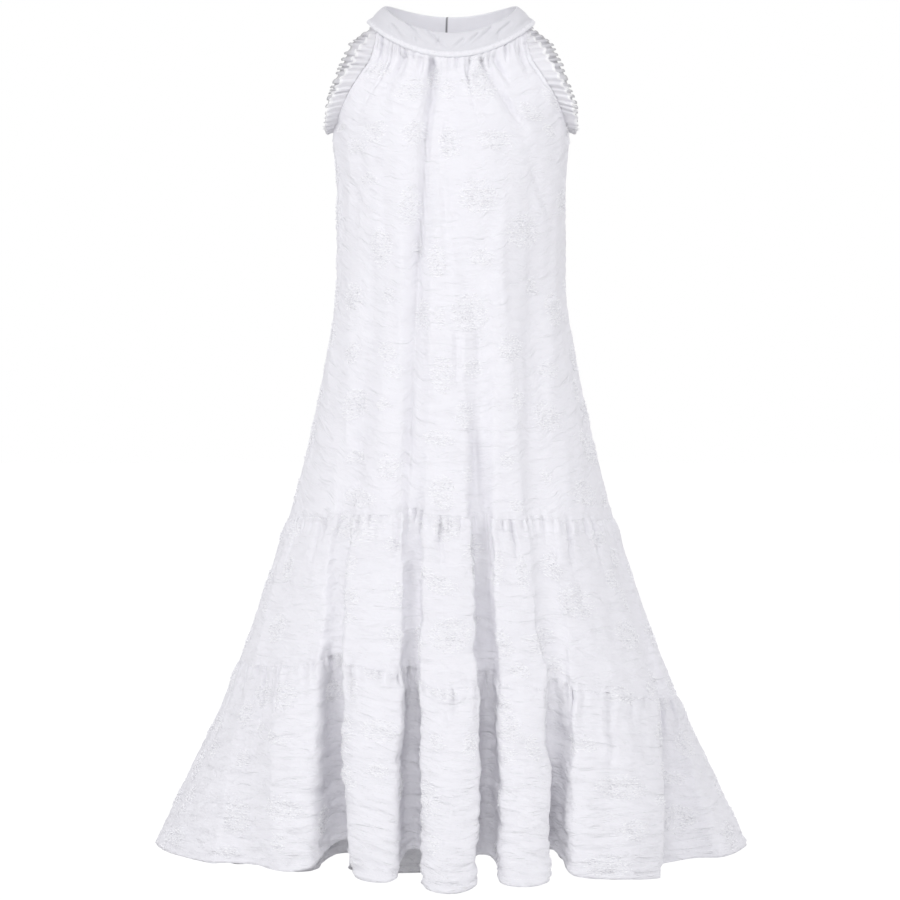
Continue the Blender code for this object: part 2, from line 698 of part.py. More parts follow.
def make_frill(name, mirrored, material):
    """A gathered strip that stands out from the armhole edge, widest at the shoulder."""
    count = FRILL_WAVES * COLUMNS_PER_GATHER + 1
    root, at, length = armhole_loop(count)
    along = np.gradient(root, axis=0)
    along /= np.linalg.norm(along, axis=1, keepdims=True)
    away = np.stack([np.zeros(count), root[:, 1], root[:, 2] - ARMHOLE_MIDDLE_Z], axis=-1)
    away /= np.linalg.norm(away, axis=1, keepdims=True)
    height = np.clip(np.abs(at / length - 0.5) * 2 / 0.4, 0, 1)
    lean = (np.radians(FRILL_OPENING_ANGLE) * height)[:, None]
    out = np.cos(lean) * np.array([1.0, 0, 0]) + np.sin(lean) * away
    across = np.cross(along, out)
    across /= np.linalg.norm(across, axis=1, keepdims=True)
    from_end = np.minimum(at, length - at)
    width = FRILL_NARROW + (FRILL_WIDTH - FRILL_NARROW) * height
    width = width * np.clip(0.2 + 0.8 * from_end / 24.0, 0, 1)
    wave = np.cos(2 * np.pi * FRILL_WAVES * np.linspace(0, 1, count))
    uneven = 0.85 + 0.25 * np.sin(np.linspace(0, 17, count))
    rows = []
    for share, swing in ((0.0, 0.25), (1.0, 1.0)):
        reach = (0.9 + width * share)[:, None]
        swing_by = (FRILL_WAVE * swing * wave * uneven)[:, None]
        rows.append(root + out * reach + across * swing_by)
    bm = bmesh.new()
    side = -1 if mirrored else 1
    grid = [[bm.verts.new((side * p[0] * MM, p[1] * MM, p[2] * MM)) for p in row] for row in rows]
    for k in range(count - 1):
        bm.faces.new([grid[0][k], grid[0][k + 1], grid[1][k + 1], grid[1][k]])
    obj = mesh_object(name, bm)
    wall = obj.modifiers.new("cloth", "SOLIDIFY")
    wall.thickness = FRILL_CLOTH * MM
    wall.offset = 0
    obj.data.materials.append(material)


def band_back_frame(x):
    """A place on the outside of the neckband behind, with its outward and upward directions."""
    turn = 180 - math.degrees(math.asin(x / BAND_FOOT.half_width))
    section = band_section(turn)
    middle = (section[2] + section[3]) / 2
    up = (section[3] - section[2]) / np.linalg.norm(section[3] - section[2])
    out = np.cross(np.array([-1.0, 0, 0]), up)
    return middle, out / np.linalg.norm(out), up


def make_button(material):
    """A small domed button on the neckband's left end, turned from a profile."""
    middle, out, _ = band_back_frame(OPENING_X + 7.0)
    profile = [
        (0.0, BUTTON_HEIGHT),
        (BUTTON_RADIUS * 0.5, BUTTON_HEIGHT - 0.15),
        (BUTTON_RADIUS * 0.85, BUTTON_HEIGHT - 0.6),
        (BUTTON_RADIUS, BUTTON_HEIGHT - 1.2),
        (BUTTON_RADIUS * 0.9, SHANK_HEIGHT),
        (SHANK_RADIUS, SHANK_HEIGHT),
        (SHANK_RADIUS, 0.0),
        (0.0, 0.0),
    ]
    mesh = bpy.data.meshes.new("back_button")
    verts = [(r * MM, 0, h * MM) for r, h in profile]
    mesh.from_pydata(verts, [(k, k + 1) for k in range(len(verts) - 1)], [])
    obj = bpy.data.objects.new("back_button", mesh)
    DRESS.objects.link(obj)
    turned = obj.modifiers.new("turned", "SCREW")
    turned.steps = 16
    turned.render_steps = 16
    turned.use_merge_vertices = True
    turned.merge_threshold = 0.00001
    obj.location = (middle + out * (SEAM + 0.15)) * MM
    obj.rotation_mode = "QUATERNION"
    obj.rotation_quaternion = Vector(out).to_track_quat("Z", "Y")
    obj.data.materials.append(material)


def make_loop(material):
    """A thread loop from the neckband's right end round the button's shank."""
    middle, out, up = band_back_frame(OPENING_X + 7.0)
    reach = SHANK_RADIUS + SEAM + LOOP_WIRE
    centre = middle + out * (SEAM + 0.15 + SHANK_HEIGHT / 2)
    path = [(-11.0, reach), (-5.0, reach)]
    path += [
        (reach * math.cos(math.radians(a)), reach * math.sin(math.radians(a)))
        for a in range(90, -91, -30)
    ]
    path += [(-5.0, -reach), (-11.0, -reach)]
    curve = bpy.data.curves.new("button_loop", "CURVE")
    curve.dimensions = "3D"
    curve.bevel_depth = LOOP_WIRE * MM
    curve.bevel_resolution = 1
    curve.use_fill_caps = True
    spline = curve.splines.new("POLY")
    spline.points.add(len(path) - 1)
    for point, (x, rise) in zip(spline.points, path):
        point.co = (*((centre + np.array([x, 0, 0]) + up * rise) * MM), 1)
    obj = bpy.data.objects.new("button_loop", curve)
    DRESS.objects.link(obj)
    obj.data.materials.append(material)


def main():
    clear_scene()
    cloth = cloth_material("white_cut_thread_cloth", (0.93, 0.93, 0.94), 0.75)
    band = cloth_material("white_plain_cloth", (0.92, 0.92, 0.94), 0.7)
    pearl = cloth_material("white_button", (0.9, 0.9, 0.88), 0.35)
    make_neckband(band)
    make_front_panel(cloth)
    make_back_panels(cloth)
    make_tiers(cloth)
    make_frill("armhole_frill_left", False, cloth)
    make_frill("armhole_frill_right", True, cloth)
    make_button(pearl)
    make_loop(band)


def clear_scene():
    for obj in list(bpy.data.objects):
        bpy.data.objects.remove(obj)


DRESS = bpy.data.collections.new("sleeveless_dress")
bpy.context.scene.collection.children.link(DRESS)
main()
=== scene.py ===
import math
from collections import namedtuple

import bpy
import numpy as np
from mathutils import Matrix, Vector


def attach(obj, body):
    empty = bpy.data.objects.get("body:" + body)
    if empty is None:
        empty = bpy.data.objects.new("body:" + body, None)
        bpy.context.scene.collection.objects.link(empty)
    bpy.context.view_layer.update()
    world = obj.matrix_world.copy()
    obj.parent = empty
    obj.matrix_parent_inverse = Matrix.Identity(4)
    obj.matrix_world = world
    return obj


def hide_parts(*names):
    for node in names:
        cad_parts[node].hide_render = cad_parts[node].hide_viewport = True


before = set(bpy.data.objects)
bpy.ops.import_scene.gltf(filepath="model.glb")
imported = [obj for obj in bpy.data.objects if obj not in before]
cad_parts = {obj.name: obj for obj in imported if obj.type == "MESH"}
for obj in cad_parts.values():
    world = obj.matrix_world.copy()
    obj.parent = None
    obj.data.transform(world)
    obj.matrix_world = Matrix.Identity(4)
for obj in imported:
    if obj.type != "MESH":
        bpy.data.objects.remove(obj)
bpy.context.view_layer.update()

# The studio
# A girl's sleeveless dress hangs in its worn shape over a pale floor, in a white room with soft
# light. Sizes are in millimetres and turn to metres in the meshes. Turns are degrees round the
# wearer: 0 at the front, 90 at the wearer's left side, 180 at the back.
MM = 0.001
FLOOR_Z = -930.0
VIEW_DISTANCE = 3000.0
VIEW_Z = -350.0
FRAME_SPAN = 900.0
FRAME_MIDDLE_X = -1.0
FRAME_MIDDLE_Z = -412.0

camera = bpy.data.cameras.new("studio_camera")
camera.sensor_width = 36.0
camera.lens = 120.0
camera.shift_x = FRAME_MIDDLE_X / FRAME_SPAN
camera.shift_y = (FRAME_MIDDLE_Z - VIEW_Z) / FRAME_SPAN
camera_object = bpy.data.objects.new("studio_camera", camera)
camera_object.location = (0.0, -VIEW_DISTANCE * MM, VIEW_Z * MM)
camera_object.rotation_euler = (math.radians(90), 0.0, 0.0)
bpy.context.scene.collection.objects.link(camera_object)
bpy.context.scene.camera = camera_object
bpy.context.scene.view_settings.view_transform = "Standard"

room = bpy.data.worlds.new("white_room")
room.use_nodes = True
room_light = room.node_tree.nodes["Background"]
room_light.inputs["Color"].default_value = (0.985, 0.985, 1.0, 1.0)
room_light.inputs["Strength"].default_value = 0.71
white_wall = room.node_tree.nodes.new("ShaderNodeBackground")
white_wall.inputs["Color"].default_value = (1.0, 1.0, 1.0, 1.0)
seen = room.node_tree.nodes.new("ShaderNodeLightPath")
wall_or_light = room.node_tree.nodes.new("ShaderNodeMixShader")
room_link = room.node_tree.links.new
room_link(seen.outputs["Is Camera Ray"], wall_or_light.inputs["Fac"])
room_link(room_light.outputs["Background"], wall_or_light.inputs[1])
room_link(white_wall.outputs["Background"], wall_or_light.inputs[2])
room_link(wall_or_light.outputs["Shader"], room.node_tree.nodes["World Output"].inputs["Surface"])
bpy.context.scene.world = room


def add_soft_light(name, place, target, size, power):
    """A square light, in metres and watts, that doesn't show itself."""
    light = bpy.data.lights.new(name, "AREA")
    light.shape = "SQUARE"
    light.size = size
    light.energy = power
    light_object = bpy.data.objects.new(name, light)
    light_object.location = place
    light_object.visible_camera = False
    way = Vector(target) - Vector(place)
    light_object.rotation_euler = way.to_track_quat("-Z", "Y").to_euler()
    bpy.context.scene.collection.objects.link(light_object)


add_soft_light("left_light", (-3.0, -2.7, 0.5), (0.0, 0.0, -0.45), 1.2, 32.0)
add_soft_light("right_light", (3.0, -2.7, 0.3), (0.0, 0.0, -0.45), 1.2, 24.5)
add_soft_light("top_light", (-0.4, -2.5, 2.3), (0.0, 0.0, -0.45), 0.8, 27.0)
add_soft_light("neck_light", (0.0, -0.035, -0.1), (0.0, 0.05, 0.018), 0.05, 0.05)
add_soft_light("back_light", (1.4, 3.6, 0.9), (0.0, 0.0, -0.45), 2.2, 28.0)

floor_paint = bpy.data.materials.new("pale_floor_paint")
floor_paint.use_nodes = True
floor_nodes = floor_paint.node_tree.nodes
floor_shader = floor_nodes["Principled BSDF"]
floor_shader.inputs["Base Color"].default_value = (0.9, 0.9, 0.9, 1.0)
floor_shader.inputs["Roughness"].default_value = 0.9
floor_glow = floor_nodes.new("ShaderNodeEmission")
floor_glow.inputs["Strength"].default_value = 1.1
floor_seen = floor_nodes.new("ShaderNodeLightPath")
floor_share = floor_nodes.new("ShaderNodeMath")
floor_share.operation = "MULTIPLY"
floor_share.inputs[1].default_value = 0.85
floor_mix = floor_nodes.new("ShaderNodeMixShader")
floor_link = floor_paint.node_tree.links.new
floor_link(floor_seen.outputs["Is Camera Ray"], floor_share.inputs[0])
floor_link(floor_share.outputs[0], floor_mix.inputs["Fac"])
floor_link(floor_shader.outputs["BSDF"], floor_mix.inputs[1])
floor_link(floor_glow.outputs["Emission"], floor_mix.inputs[2])
floor_link(floor_mix.outputs["Shader"], floor_nodes["Material Output"].inputs["Surface"])
bpy.ops.object.select_all(action="DESELECT")
bpy.ops.mesh.primitive_plane_add(size=40.0, location=(0.0, 0.0, FLOOR_Z * MM))
floor = bpy.context.object
floor.name = "pale_floor"
floor.data.materials.append(floor_paint)


# The front panel
# One piece of white cotton with tufts of cut thread, gathered into the neckband and hanging in
# soft folds to the first tier. It is sewn to the back at both sides below the armholes.
THICKNESS = 0.6
SEAM_GAP = 0.12
ALLOWANCE = 2.0
EDGE_WIDTH = 0.4
UNDERARM_Z = -93.0
UNDERARM_DIP = 9.0
WAIST_Z = -300.0
UPPER_SEAM_Z = -475.0
PANEL_TURN = 62.0
PANEL_COLUMNS = 168
YOKE_ROWS = 34
BODY_ROWS = 118
EASED_ROWS = 12.0
EASING_ROUNDS = 24
TURNED_ROWS = 3

Edge = namedtuple("Edge", "half_width half_depth mean slope saddle")
BAND_TOP = Edge(67.5, 46.0, 22.1, -13.2, -8.9)
BAND_FOOT = Edge(83.5, 58.0, 1.5, -14.0, -13.5)

FRONT_ARMHOLE = [
    (73.7, -27.2, 2.2),
    (79.0, -38.0, -22.0),
    (91.0, -43.0, -41.5),
    (102.5, -40.5, -60.5),
    (110.5, -32.0, -77.5),
    (116.0, -17.0, -89.3),
    (118.5, 0.0, -93.0),
]
BACK_ARMHOLE = [
    (73.7, 27.2, 15.3),
    (85.0, 36.0, -7.0),
    (98.0, 41.0, -32.0),
    (107.5, 39.0, -55.0),
    (113.0, 31.0, -75.0),
    (116.8, 17.0, -88.8),
    (118.5, 0.0, -93.0),
]

Section = namedtuple("Section", "z half_width front back")
SECTIONS = [
    Section(-93, 118.5, 83, 75),
    Section(-160, 114.0, 87, 77),
    Section(-240, 114.0, 91, 83),
    Section(-320, 125.0, 98, 94),
    Section(-400, 141.5, 109, 107),
    Section(-475, 161.0, 122, 121),
    Section(-560, 189.0, 141, 140),
    Section(-642, 219.5, 164, 163),
    Section(-722, 256.0, 189, 187),
    Section(-800, 294.0, 214, 210),
    Section(-870, 325.0, 234, 228),
]

# Heights of the two tier seams and of the hem round the dress, before the folds lift them.
Level = namedtuple("Level", "turn upper_seam lower_seam hem")
LEVELS = [
    Level(-90, -480, -622, -802),
    Level(-62, -477, -622, -803),
    Level(-45, -475, -617, -805),
    Level(-30, -473, -613, -804),
    Level(-14, -471, -623, -810),
    Level(0, -473, -635, -819),
    Level(14, -476, -632, -814),
    Level(28, -478, -638, -811),
    Level(44, -479, -643, -816),
    Level(64, -480, -654, -808),
    Level(90, -480, -658, -802),
    Level(106, -480, -654, -808),
    Level(125, -479, -648, -838),
    Level(150, -477, -641, -860),
    Level(180, -475, -637, -872),
    Level(208, -476, -633, -867),
    Level(235, -478, -628, -838),
    Level(254, -479, -624, -808),
    Level(270, -480, -622, -802),
]
SEAM_LIFTS = {"upper_seam": 0.2, "lower_seam": 0.35, "hem": 1.0}

# The long folds: middle turn, half widths and depth at the waist, both seams and the hem.
Valley = namedtuple("Valley", "turn half_before half_after depth lift")
FRONT_VALLEYS = [
    Valley((-70, -66, -60, -42), (9, 8, 6, 7), (8, 7, 6, 6), (0, 1, 4, 9), 3),
    Valley((-39, -40.5, -34.5, -23.4), (8, 3.6, 3.2, 3.6), (8, 3.6, 3.4, 4.2), (3, 5, 13, 60), 25),
    Valley((-16.6, -13.4, -10.8, -7.6), (5, 3.4, 2.6, 2.4), (5, 3.4, 2.6, 2.4), (6, 9, 20, 52), 28),
    Valley((12.9, 10.2, 9.8, 6.8), (5, 3.6, 2.8, 2.5), (5, 3.6, 2.8, 2.5), (3, 14, 30, 54), 25),
    Valley((39.5, 32.0, 28.5, 20.5), (8, 5, 2.8, 2.1), (8, 6, 3.4, 2.3), (4, 4, 9, 50), 28),
    Valley((75, 74, 71, 47), (8, 6, 4.5, 4.5), (6, 6, 7, 16), (2, 3, 13, 50), 4),
]
BACK_TURNS = (-72, -55, -38, -21.7, -6.9, 23.2, 38, 54.5, 71)
BACK_LEVEL_SPREAD = (1.07, 1.05, 1.02, 1.0)
BACK_HALF = (5.0, 4.2, 3.6, 3.6)
BACK_DEPTH = (2.0, 7.0, 17.0, 50.0)
BACK_LIFT = 29.0
MOUTH = 1.3
MOUTH_PHASE = 0.36
OVERHANG = 0.3

# Soft creases, seen from the front: from (x, z) to (x, z).
Crease = namedtuple("Crease", "x0 z0 x1 z1 half_width depth fade_in")
FRONT_CREASES = [
    Crease(-17, -26, -27, -128, 10, 4.4, 6),
    Crease(-22, -90, -44, -440, 15, 5.0, 70),
    Crease(4, -150, 24, -360, 16, 2.6, 60),
    Crease(-76, -200, -86, -470, 16, 3.0, 70),
    Crease(92, -180, 80, -470, 15, 3.0, 70),
    Crease(-42, -18, -62, -76, 8, 2.4, 6),
    Crease(-64, -4, -74, -52, 7, 2.0, 6),
    Crease(27, -24, 78, -112, 9, 2.6, 6),
    Crease(42, -20, 64, -66, 8, 2.2, 6),
    Crease(66, -6, 82, -56, 7, 2.0, 6),
]
BACK_CREASES = [
    Crease(22, 2, 32, -120, 9, 2.8, 6),
    Crease(48, 6, 70, -70, 8, 2.4, 6),
    Crease(-26, 2, -40, -118, 9, 2.8, 6),
    Crease(-52, 6, -72, -66, 8, 2.4, 6),
    Crease(40, -150, 56, -460, 16, 3.4, 80),
    Crease(-44, -170, -62, -460, 16, 3.4, 80),
]
CREASES = {"front": FRONT_CREASES, "back": BACK_CREASES}

# Sharper fold lines, drawn in where the neck and the tier seam pull the cloth together.
FRONT_LINES = [
    Crease(-18, -18, -19, -70, 3.8, 3.0, 3),
    Crease(-19, -48, -27, -120, 4.0, 2.8, 14),
    Crease(-25, -86, -34, -240, 4.4, 2.6, 14),
    Crease(-31, -170, -40, -360, 5.5, 2.0, 30),
    Crease(-39, -300, -43, -500, 6.0, 2.6, 60),
    Crease(-48, -16, -68, -66, 4.5, 2.4, 3),
    Crease(19, -20, 16, -50, 3.5, 2.0, 3),
    Crease(28, -18, 50, -58, 3.6, 1.8, 3),
    Crease(48, -50, 75, -92, 4.5, 2.2, 10),
    Crease(41, -16, 63, -50, 3.6, 2.0, 3),
    Crease(69, -12, 80, -40, 3.5, 1.8, 3),
    Crease(-71, -10, -80, -36, 3.5, 1.6, 3),
    Crease(-31, -18, -33, -44, 3.0, 1.4, 3),
    Crease(-6, -80, -5, -124, 4.0, 1.5, 10),
    Crease(-8, -126, -2, -240, 5.0, 1.1, 20),
    Crease(6, -285, 7, -372, 5.0, 1.2, 20),
    Crease(27, -290, 27, -336, 4.5, 1.4, 10),
    Crease(22, -380, 29, -480, 6.0, 3.0, 30),
    Crease(76, -250, 80, -470, 9.0, 1.4, 60),
    Crease(-88, -300, -92, -480, 8.0, 1.4, 60),
    Crease(-100, -110, -78, -150, 6.0, 1.4, 8),
    Crease(-108, -130, -84, -182, 6.0, 1.3, 8),
    Crease(72, -112, 100, -160, 6.0, 1.4, 8),
    Crease(82, -132, 106, -196, 6.0, 1.2, 8),
    Crease(-96, -150, -104, -250, 7.0, 1.2, 30),
]
LINE_DEPTH = 2.0
BACK_LINES = [
    Crease(18, -6, 22, -64, 4.0, 2.0, 3),
    Crease(-20, -6, -26, -70, 4.0, 2.0, 3),
    Crease(40, -2, 62, -56, 4.0, 1.8, 3),
    Crease(-44, -2, -64, -52, 4.0, 1.8, 3),
    Crease(60, 6, 76, -30, 3.5, 1.6, 3),
    Crease(-62, 6, -78, -34, 3.5, 1.6, 3),
    Crease(30, -60, 44, -220, 5.5, 1.7, 20),
    Crease(-34, -66, -50, -240, 5.5, 1.7, 20),
    Crease(60, -200, 70, -470, 8.0, 1.7, 60),
    Crease(-24, -240, -30, -480, 6.0, 2.2, 60),
    Crease(-84, -260, -94, -480, 8.0, 1.5, 60),
    Crease(96, -110, 72, -158, 6.0, 1.4, 8),
    Crease(-98, -112, -74, -160, 6.0, 1.4, 8),
]


def smooth_curve(places, values, at):
    """A curve without overshoot through (places, values), read at the places in `at`."""
    x = np.asarray(places, float)
    y = np.asarray(values, float)
    step = np.diff(x)
    slope = np.diff(y) / step
    tangent = np.zeros(len(x))
    same_way = slope[:-1] * slope[1:] > 0
    before = step[:-1]
    after = step[1:]
    weighted = (2 * after + before) / np.where(same_way, slope[:-1], 1)
    weighted += (after + 2 * before) / np.where(same_way, slope[1:], 1)
    tangent[1:-1] = np.where(same_way, 3 * (before + after) / weighted, 0)
    tangent[0] = slope[0]
    tangent[-1] = slope[-1]
    at = np.clip(np.asarray(at, float), x[0], x[-1])
    i = np.clip(np.searchsorted(x, at) - 1, 0, len(step) - 1)
    t = (at - x[i]) / step[i]
    rise = (1 + 2 * t) * (1 - t) ** 2 * y[i] + t * t * (3 - 2 * t) * y[i + 1]
    return rise + step[i] * (t * (1 - t) ** 2 * tangent[i] - t * t * (1 - t) * tangent[i + 1])


def unit(ways):
    """Directions made one long."""
    return ways / np.maximum(np.linalg.norm(ways, axis=-1, keepdims=True), 1e-9)


def ramp(distance, over):
    """A share that grows from 0 to 1 over this distance."""
    return np.clip(distance / over, 0, 1)


def bell(distance, width):
    """A soft bump, 1 high, that has sunk to about a third at this width."""
    return np.exp(-((distance / width) ** 2))


def section_at(z):
    """Half width, front depth and back depth of the dress at height z."""
    down = [-row.z for row in SECTIONS]
    return tuple(
        smooth_curve(down, [getattr(row, name) for row in SECTIONS], -np.asarray(z, float))
        for name in ("half_width", "front", "back")
    )


def edge_height(edge, turn):
    """Height of an edge of the neckband at a turn."""
    a = np.radians(turn)
    return edge.mean + edge.slope * np.cos(a) + edge.saddle * np.cos(2 * a)


def back_valley(index, off):
    """A long fold of the back, at a turn measured from its middle."""
    size = 1 + 0.14 * math.sin(1.9 * index + 0.6)
    half = tuple(value * (0.85 + 0.0033 * abs(off)) for value in BACK_HALF)
    turn = tuple(180 + off * spread for spread in BACK_LEVEL_SPREAD)
    return Valley(turn, half, half, tuple(depth * size for depth in BACK_DEPTH), BACK_LIFT)


VALLEYS = {
    "front": FRONT_VALLEYS,
    "back": [back_valley(index, off) for index, off in enumerate(BACK_TURNS)],
}
SIDE_TURNS = {"front": (-90.0, 90.0), "back": (90.0, 270.0)}
LEVEL_PLACES = (0.0, 1.0, 2.0, 3.0)


def folds_at(side, level):
    """The valleys of one side at a level from 0, the waist, to 3, the hem."""
    valleys = VALLEYS[side]

    def read(values):
        return float(np.interp(level, LEVEL_PLACES, values))

    start, end = SIDE_TURNS[side]
    phases = [-0.5]
    turns = [start]
    half = []
    for i, valley in enumerate(valleys):
        turn = read(valley.turn)
        before = read(valley.half_before)
        after = read(valley.half_after)
        if i:
            phases.append(i - 0.5)
            turns.append((turns[-1] + turn - MOUTH * before) / 2)
        phases += [i - MOUTH_PHASE, i - 0.25, i, i + 0.25, i + MOUTH_PHASE]
        turns += [turn - MOUTH * before, turn - before, turn, turn + after, turn + MOUTH * after]
        half.append((before + after) / 2)
    phases.append(len(valleys) - 0.5)
    turns.append(end)
    late = level if level < 2 else 2 + (level - 2) ** 0.7
    depth = [float(np.interp(late, LEVEL_PLACES, valley.depth)) for valley in valleys]
    return phases, turns, half, depth


def ring_points(side, z, turn, outward):
    """Points on the dress at height z and turn, moved out along the ring's normal."""
    half_width, front, back = section_at(z)
    half_depth = front if side == "front" else back
    a = np.radians(turn)
    x = half_width * np.sin(a)
    y = -half_depth * np.cos(a)
    normal = unit(np.stack([np.sin(a) / half_width, -np.cos(a) / half_depth], axis=-1))
    return np.stack([x + outward * normal[:, 0], y + outward * normal[:, 1], z], axis=-1)


def level_height(name, turn, lift):
    """Height of a tier seam or the hem, with the lift that the folds give it."""
    height = smooth_curve([row.turn for row in LEVELS], [getattr(row, name) for row in LEVELS], turn)
    return height + SEAM_LIFTS[name] * lift


def fold_shape(side, level, phase):
    """Turn, inward depth, lift and sideways overhang of the cloth at each phase."""
    phases, turns, half, depth = folds_at(side, level)
    valleys = VALLEYS[side]
    index = np.clip(np.round(phase).astype(int), 0, len(valleys) - 1)
    wave = np.cos(2 * np.pi * (phase - index))
    share = (1 + wave) / 2
    inward = np.array(depth)[index] * share
    lift = np.array([v.lift for v in valleys])[index] * share
    turn = smooth_curve(phases, turns, phase)
    half_width = section_at(np.full(1, -475.0 - 170.0 * max(level - 1, 0)))[0][0]
    mouth = np.radians(np.array(half)[index]) * half_width
    steep = np.clip(np.array(depth)[index] / (3 * mouth), 0, 1)
    overhang = OVERHANG * mouth * steep * np.sin(4 * np.pi * (phase - index))
    return turn, inward, lift, overhang


def fold_row(side, top, bottom, first_level, share, phase):
    """A ring of a tier without its gathers, at a share of the way from its seam to its lower edge."""
    turn, inward, lift, overhang = fold_shape(side, first_level + share, phase)
    upper = level_height(top, turn, lift)
    lower = level_height(bottom, turn, lift)
    points = ring_points(side, upper + (lower - upper) * share, turn, -inward)
    a = np.radians(turn)
    points[:, :2] += np.stack([np.cos(a), np.sin(a)], axis=-1) * overhang[:, None]
    return points


def run_of(points):
    """Length of cloth along a row of points, up to each of them."""
    return np.concatenate([[0], np.cumsum(np.linalg.norm(np.diff(points, axis=0), axis=1))])


def crease_depth(creases, x, z):
    """How far the creases press the cloth in at points seen from the front or the back."""
    total = np.zeros_like(x)
    for crease in creases:
        way = np.array([crease.x1 - crease.x0, crease.z1 - crease.z0], float)
        length = np.linalg.norm(way)
        way /= length
        rel = np.stack([x - crease.x0, z - crease.z0], axis=-1)
        along = rel @ way
        across = rel @ np.array([-way[1], way[0]])
        near = np.clip(1 - (across / crease.half_width) ** 2, 0, 1) ** 2
        taper = np.clip(1 - np.maximum(along / length - 0.35, 0) / 0.65, 0, 1)
        taper *= ramp(along, crease.fade_in)
        total += crease.depth * near * taper
    return total


def yoke_row(side, share, columns):
    """A row of a panel between the neckband, at share 0, and the underarm, at share 1."""
    armhole = FRONT_ARMHOLE if side == "front" else BACK_ARMHOLE
    places = np.linspace(0, 1, len(armhole))
    edge = [float(smooth_curve(places, [p[k] for p in armhole], share)) for k in range(3)]
    middle_turn = 0 if side == "front" else 180
    section = SECTIONS[0]
    deepest = section.front if side == "front" else section.back
    neck_middle = float(edge_height(BAND_FOOT, middle_turn)) - SEAM_GAP
    middle_depth = BAND_FOOT.half_depth
    middle_depth += (deepest - BAND_FOOT.half_depth) * math.sin(share * math.pi / 2)
    middle_z = neck_middle + (UNDERARM_Z - UNDERARM_DIP - neck_middle) * share
    edge_turn = math.acos(min(abs(edge[1]) / middle_depth, 1))
    half_width = edge[0] / math.sin(edge_turn)
    a = columns * edge_turn
    neck_turn = np.degrees(columns * math.radians(PANEL_TURN)) + middle_turn
    neck_edge = float(edge_height(BAND_FOOT, middle_turn + PANEL_TURN)) - SEAM_GAP
    rise = (edge_height(BAND_FOOT, neck_turn) - SEAM_GAP - neck_middle) / (neck_edge - neck_middle)
    rise = rise * (1 - share) + np.sin(np.abs(a)) ** 2 * share
    z = middle_z + (edge[2] - middle_z) * rise
    facing = -1 if side == "front" else 1
    x = half_width * np.sin(a)
    y = facing * middle_depth * np.cos(a)
    normal = unit(np.stack([np.sin(a) / half_width, facing * np.cos(a) / middle_depth], axis=-1))
    pressed = crease_depth(CREASES[side], x, z) + fold_lines(side, np.stack([x, y, z], axis=-1))
    pressed = pressed * min(share / 0.05, 1) * ramp(1 - np.abs(columns), 0.06)
    return np.stack([x - pressed * normal[:, 0], y - pressed * normal[:, 1], z], axis=-1)


def body_row(side, z_side, turn):
    """A row of a panel below the underarm, round one side of the body."""
    lean = (UNDERARM_Z - z_side) / (UNDERARM_Z - UPPER_SEAM_Z)
    level = max((WAIST_Z - z_side) / (WAIST_Z - UPPER_SEAM_Z), 0)
    reach = float(np.clip((UNDERARM_Z - z_side) / (UNDERARM_Z - WAIST_Z), 0, 1))
    phase = phase_at(side, level, turn)
    _, inward, lift, _ = fold_shape(side, level, phase)
    z = z_side + (level_height("upper_seam", turn, lift) - UPPER_SEAM_Z) * lean**3
    z = z - UNDERARM_DIP * np.cos(np.radians(turn)) ** 2 * (1 - reach)
    half_width = section_at(z)[0]
    pressed = crease_depth(CREASES[side], half_width * np.sin(np.radians(turn)), z)
    pressed = pressed + fold_lines(side, ring_points(side, z, turn, -inward * reach))
    return ring_points(side, z, turn, -inward * reach - pressed)


def seen_place(points):
    """Where points show on the plane of the side seams, seen by the camera."""
    size = VIEW_DISTANCE / (VIEW_DISTANCE + points[..., 1])
    return points[..., 0] * size, VIEW_Z + (points[..., 2] - VIEW_Z) * size


def fold_lines(side, points):
    """How far the sharper lines press the cloth in, by where they show from in front."""
    if side == "back":
        return LINE_DEPTH * crease_depth(BACK_LINES, points[:, 0], points[:, 2])
    return LINE_DEPTH * crease_depth(FRONT_LINES, *seen_place(points))


def phase_at(side, level, turn):
    """The phase of the folds at a turn."""
    phases, turns, _, _ = folds_at(side, level)
    fine = np.linspace(phases[0], phases[-1], 600)
    return np.interp(turn, smooth_curve(phases, turns, fine), fine)


def panel_grid(side, cut):
    """Rows of points of a panel, from the neckband down to the first tier seam.

    `cut` gives each row's first and last column, from -1 to 1, and tells how far below the neckband
    the row is.
    """
    start, end = SIDE_TURNS[side]
    rows = []
    columns = []
    for share in np.linspace(0, 1, YOKE_ROWS, endpoint=False):
        place = cut(lambda c, s=share: yoke_points(side, s, c))
        rows.append(yoke_points(side, share, place))
        columns.append(place)
    for z_side in np.linspace(UNDERARM_Z, UPPER_SEAM_Z, BODY_ROWS):
        place = cut(lambda c, z=z_side: body_row(side, z, (start + end) / 2 + c * 90))
        rows.append(body_row(side, z_side, (start + end) / 2 + place * 90))
        columns.append(place)
    grid = np.array(rows)
    # The last rows lean over to the ring that the first tier starts from.
    place = columns[-1]
    phase = phase_at(side, 1.0, (start + end) / 2 + place * 90)
    shift = fold_row(side, "upper_seam", "lower_seam", 1.0, 0.0, phase) - grid[-1]
    weight = np.clip(1 - (grid[-1][None, :, 2] - grid[:, :, 2]) / -45.0, 0, 1)
    grid += shift[None] * (weight**2 * (3 - 2 * weight))[..., None]
    return ease_rows(grid, YOKE_ROWS), np.array(columns), phase


def yoke_points(side, share, columns):
    """A yoke row whose columns run towards growing turns."""
    return yoke_row(side, share, columns if side == "front" else -columns)


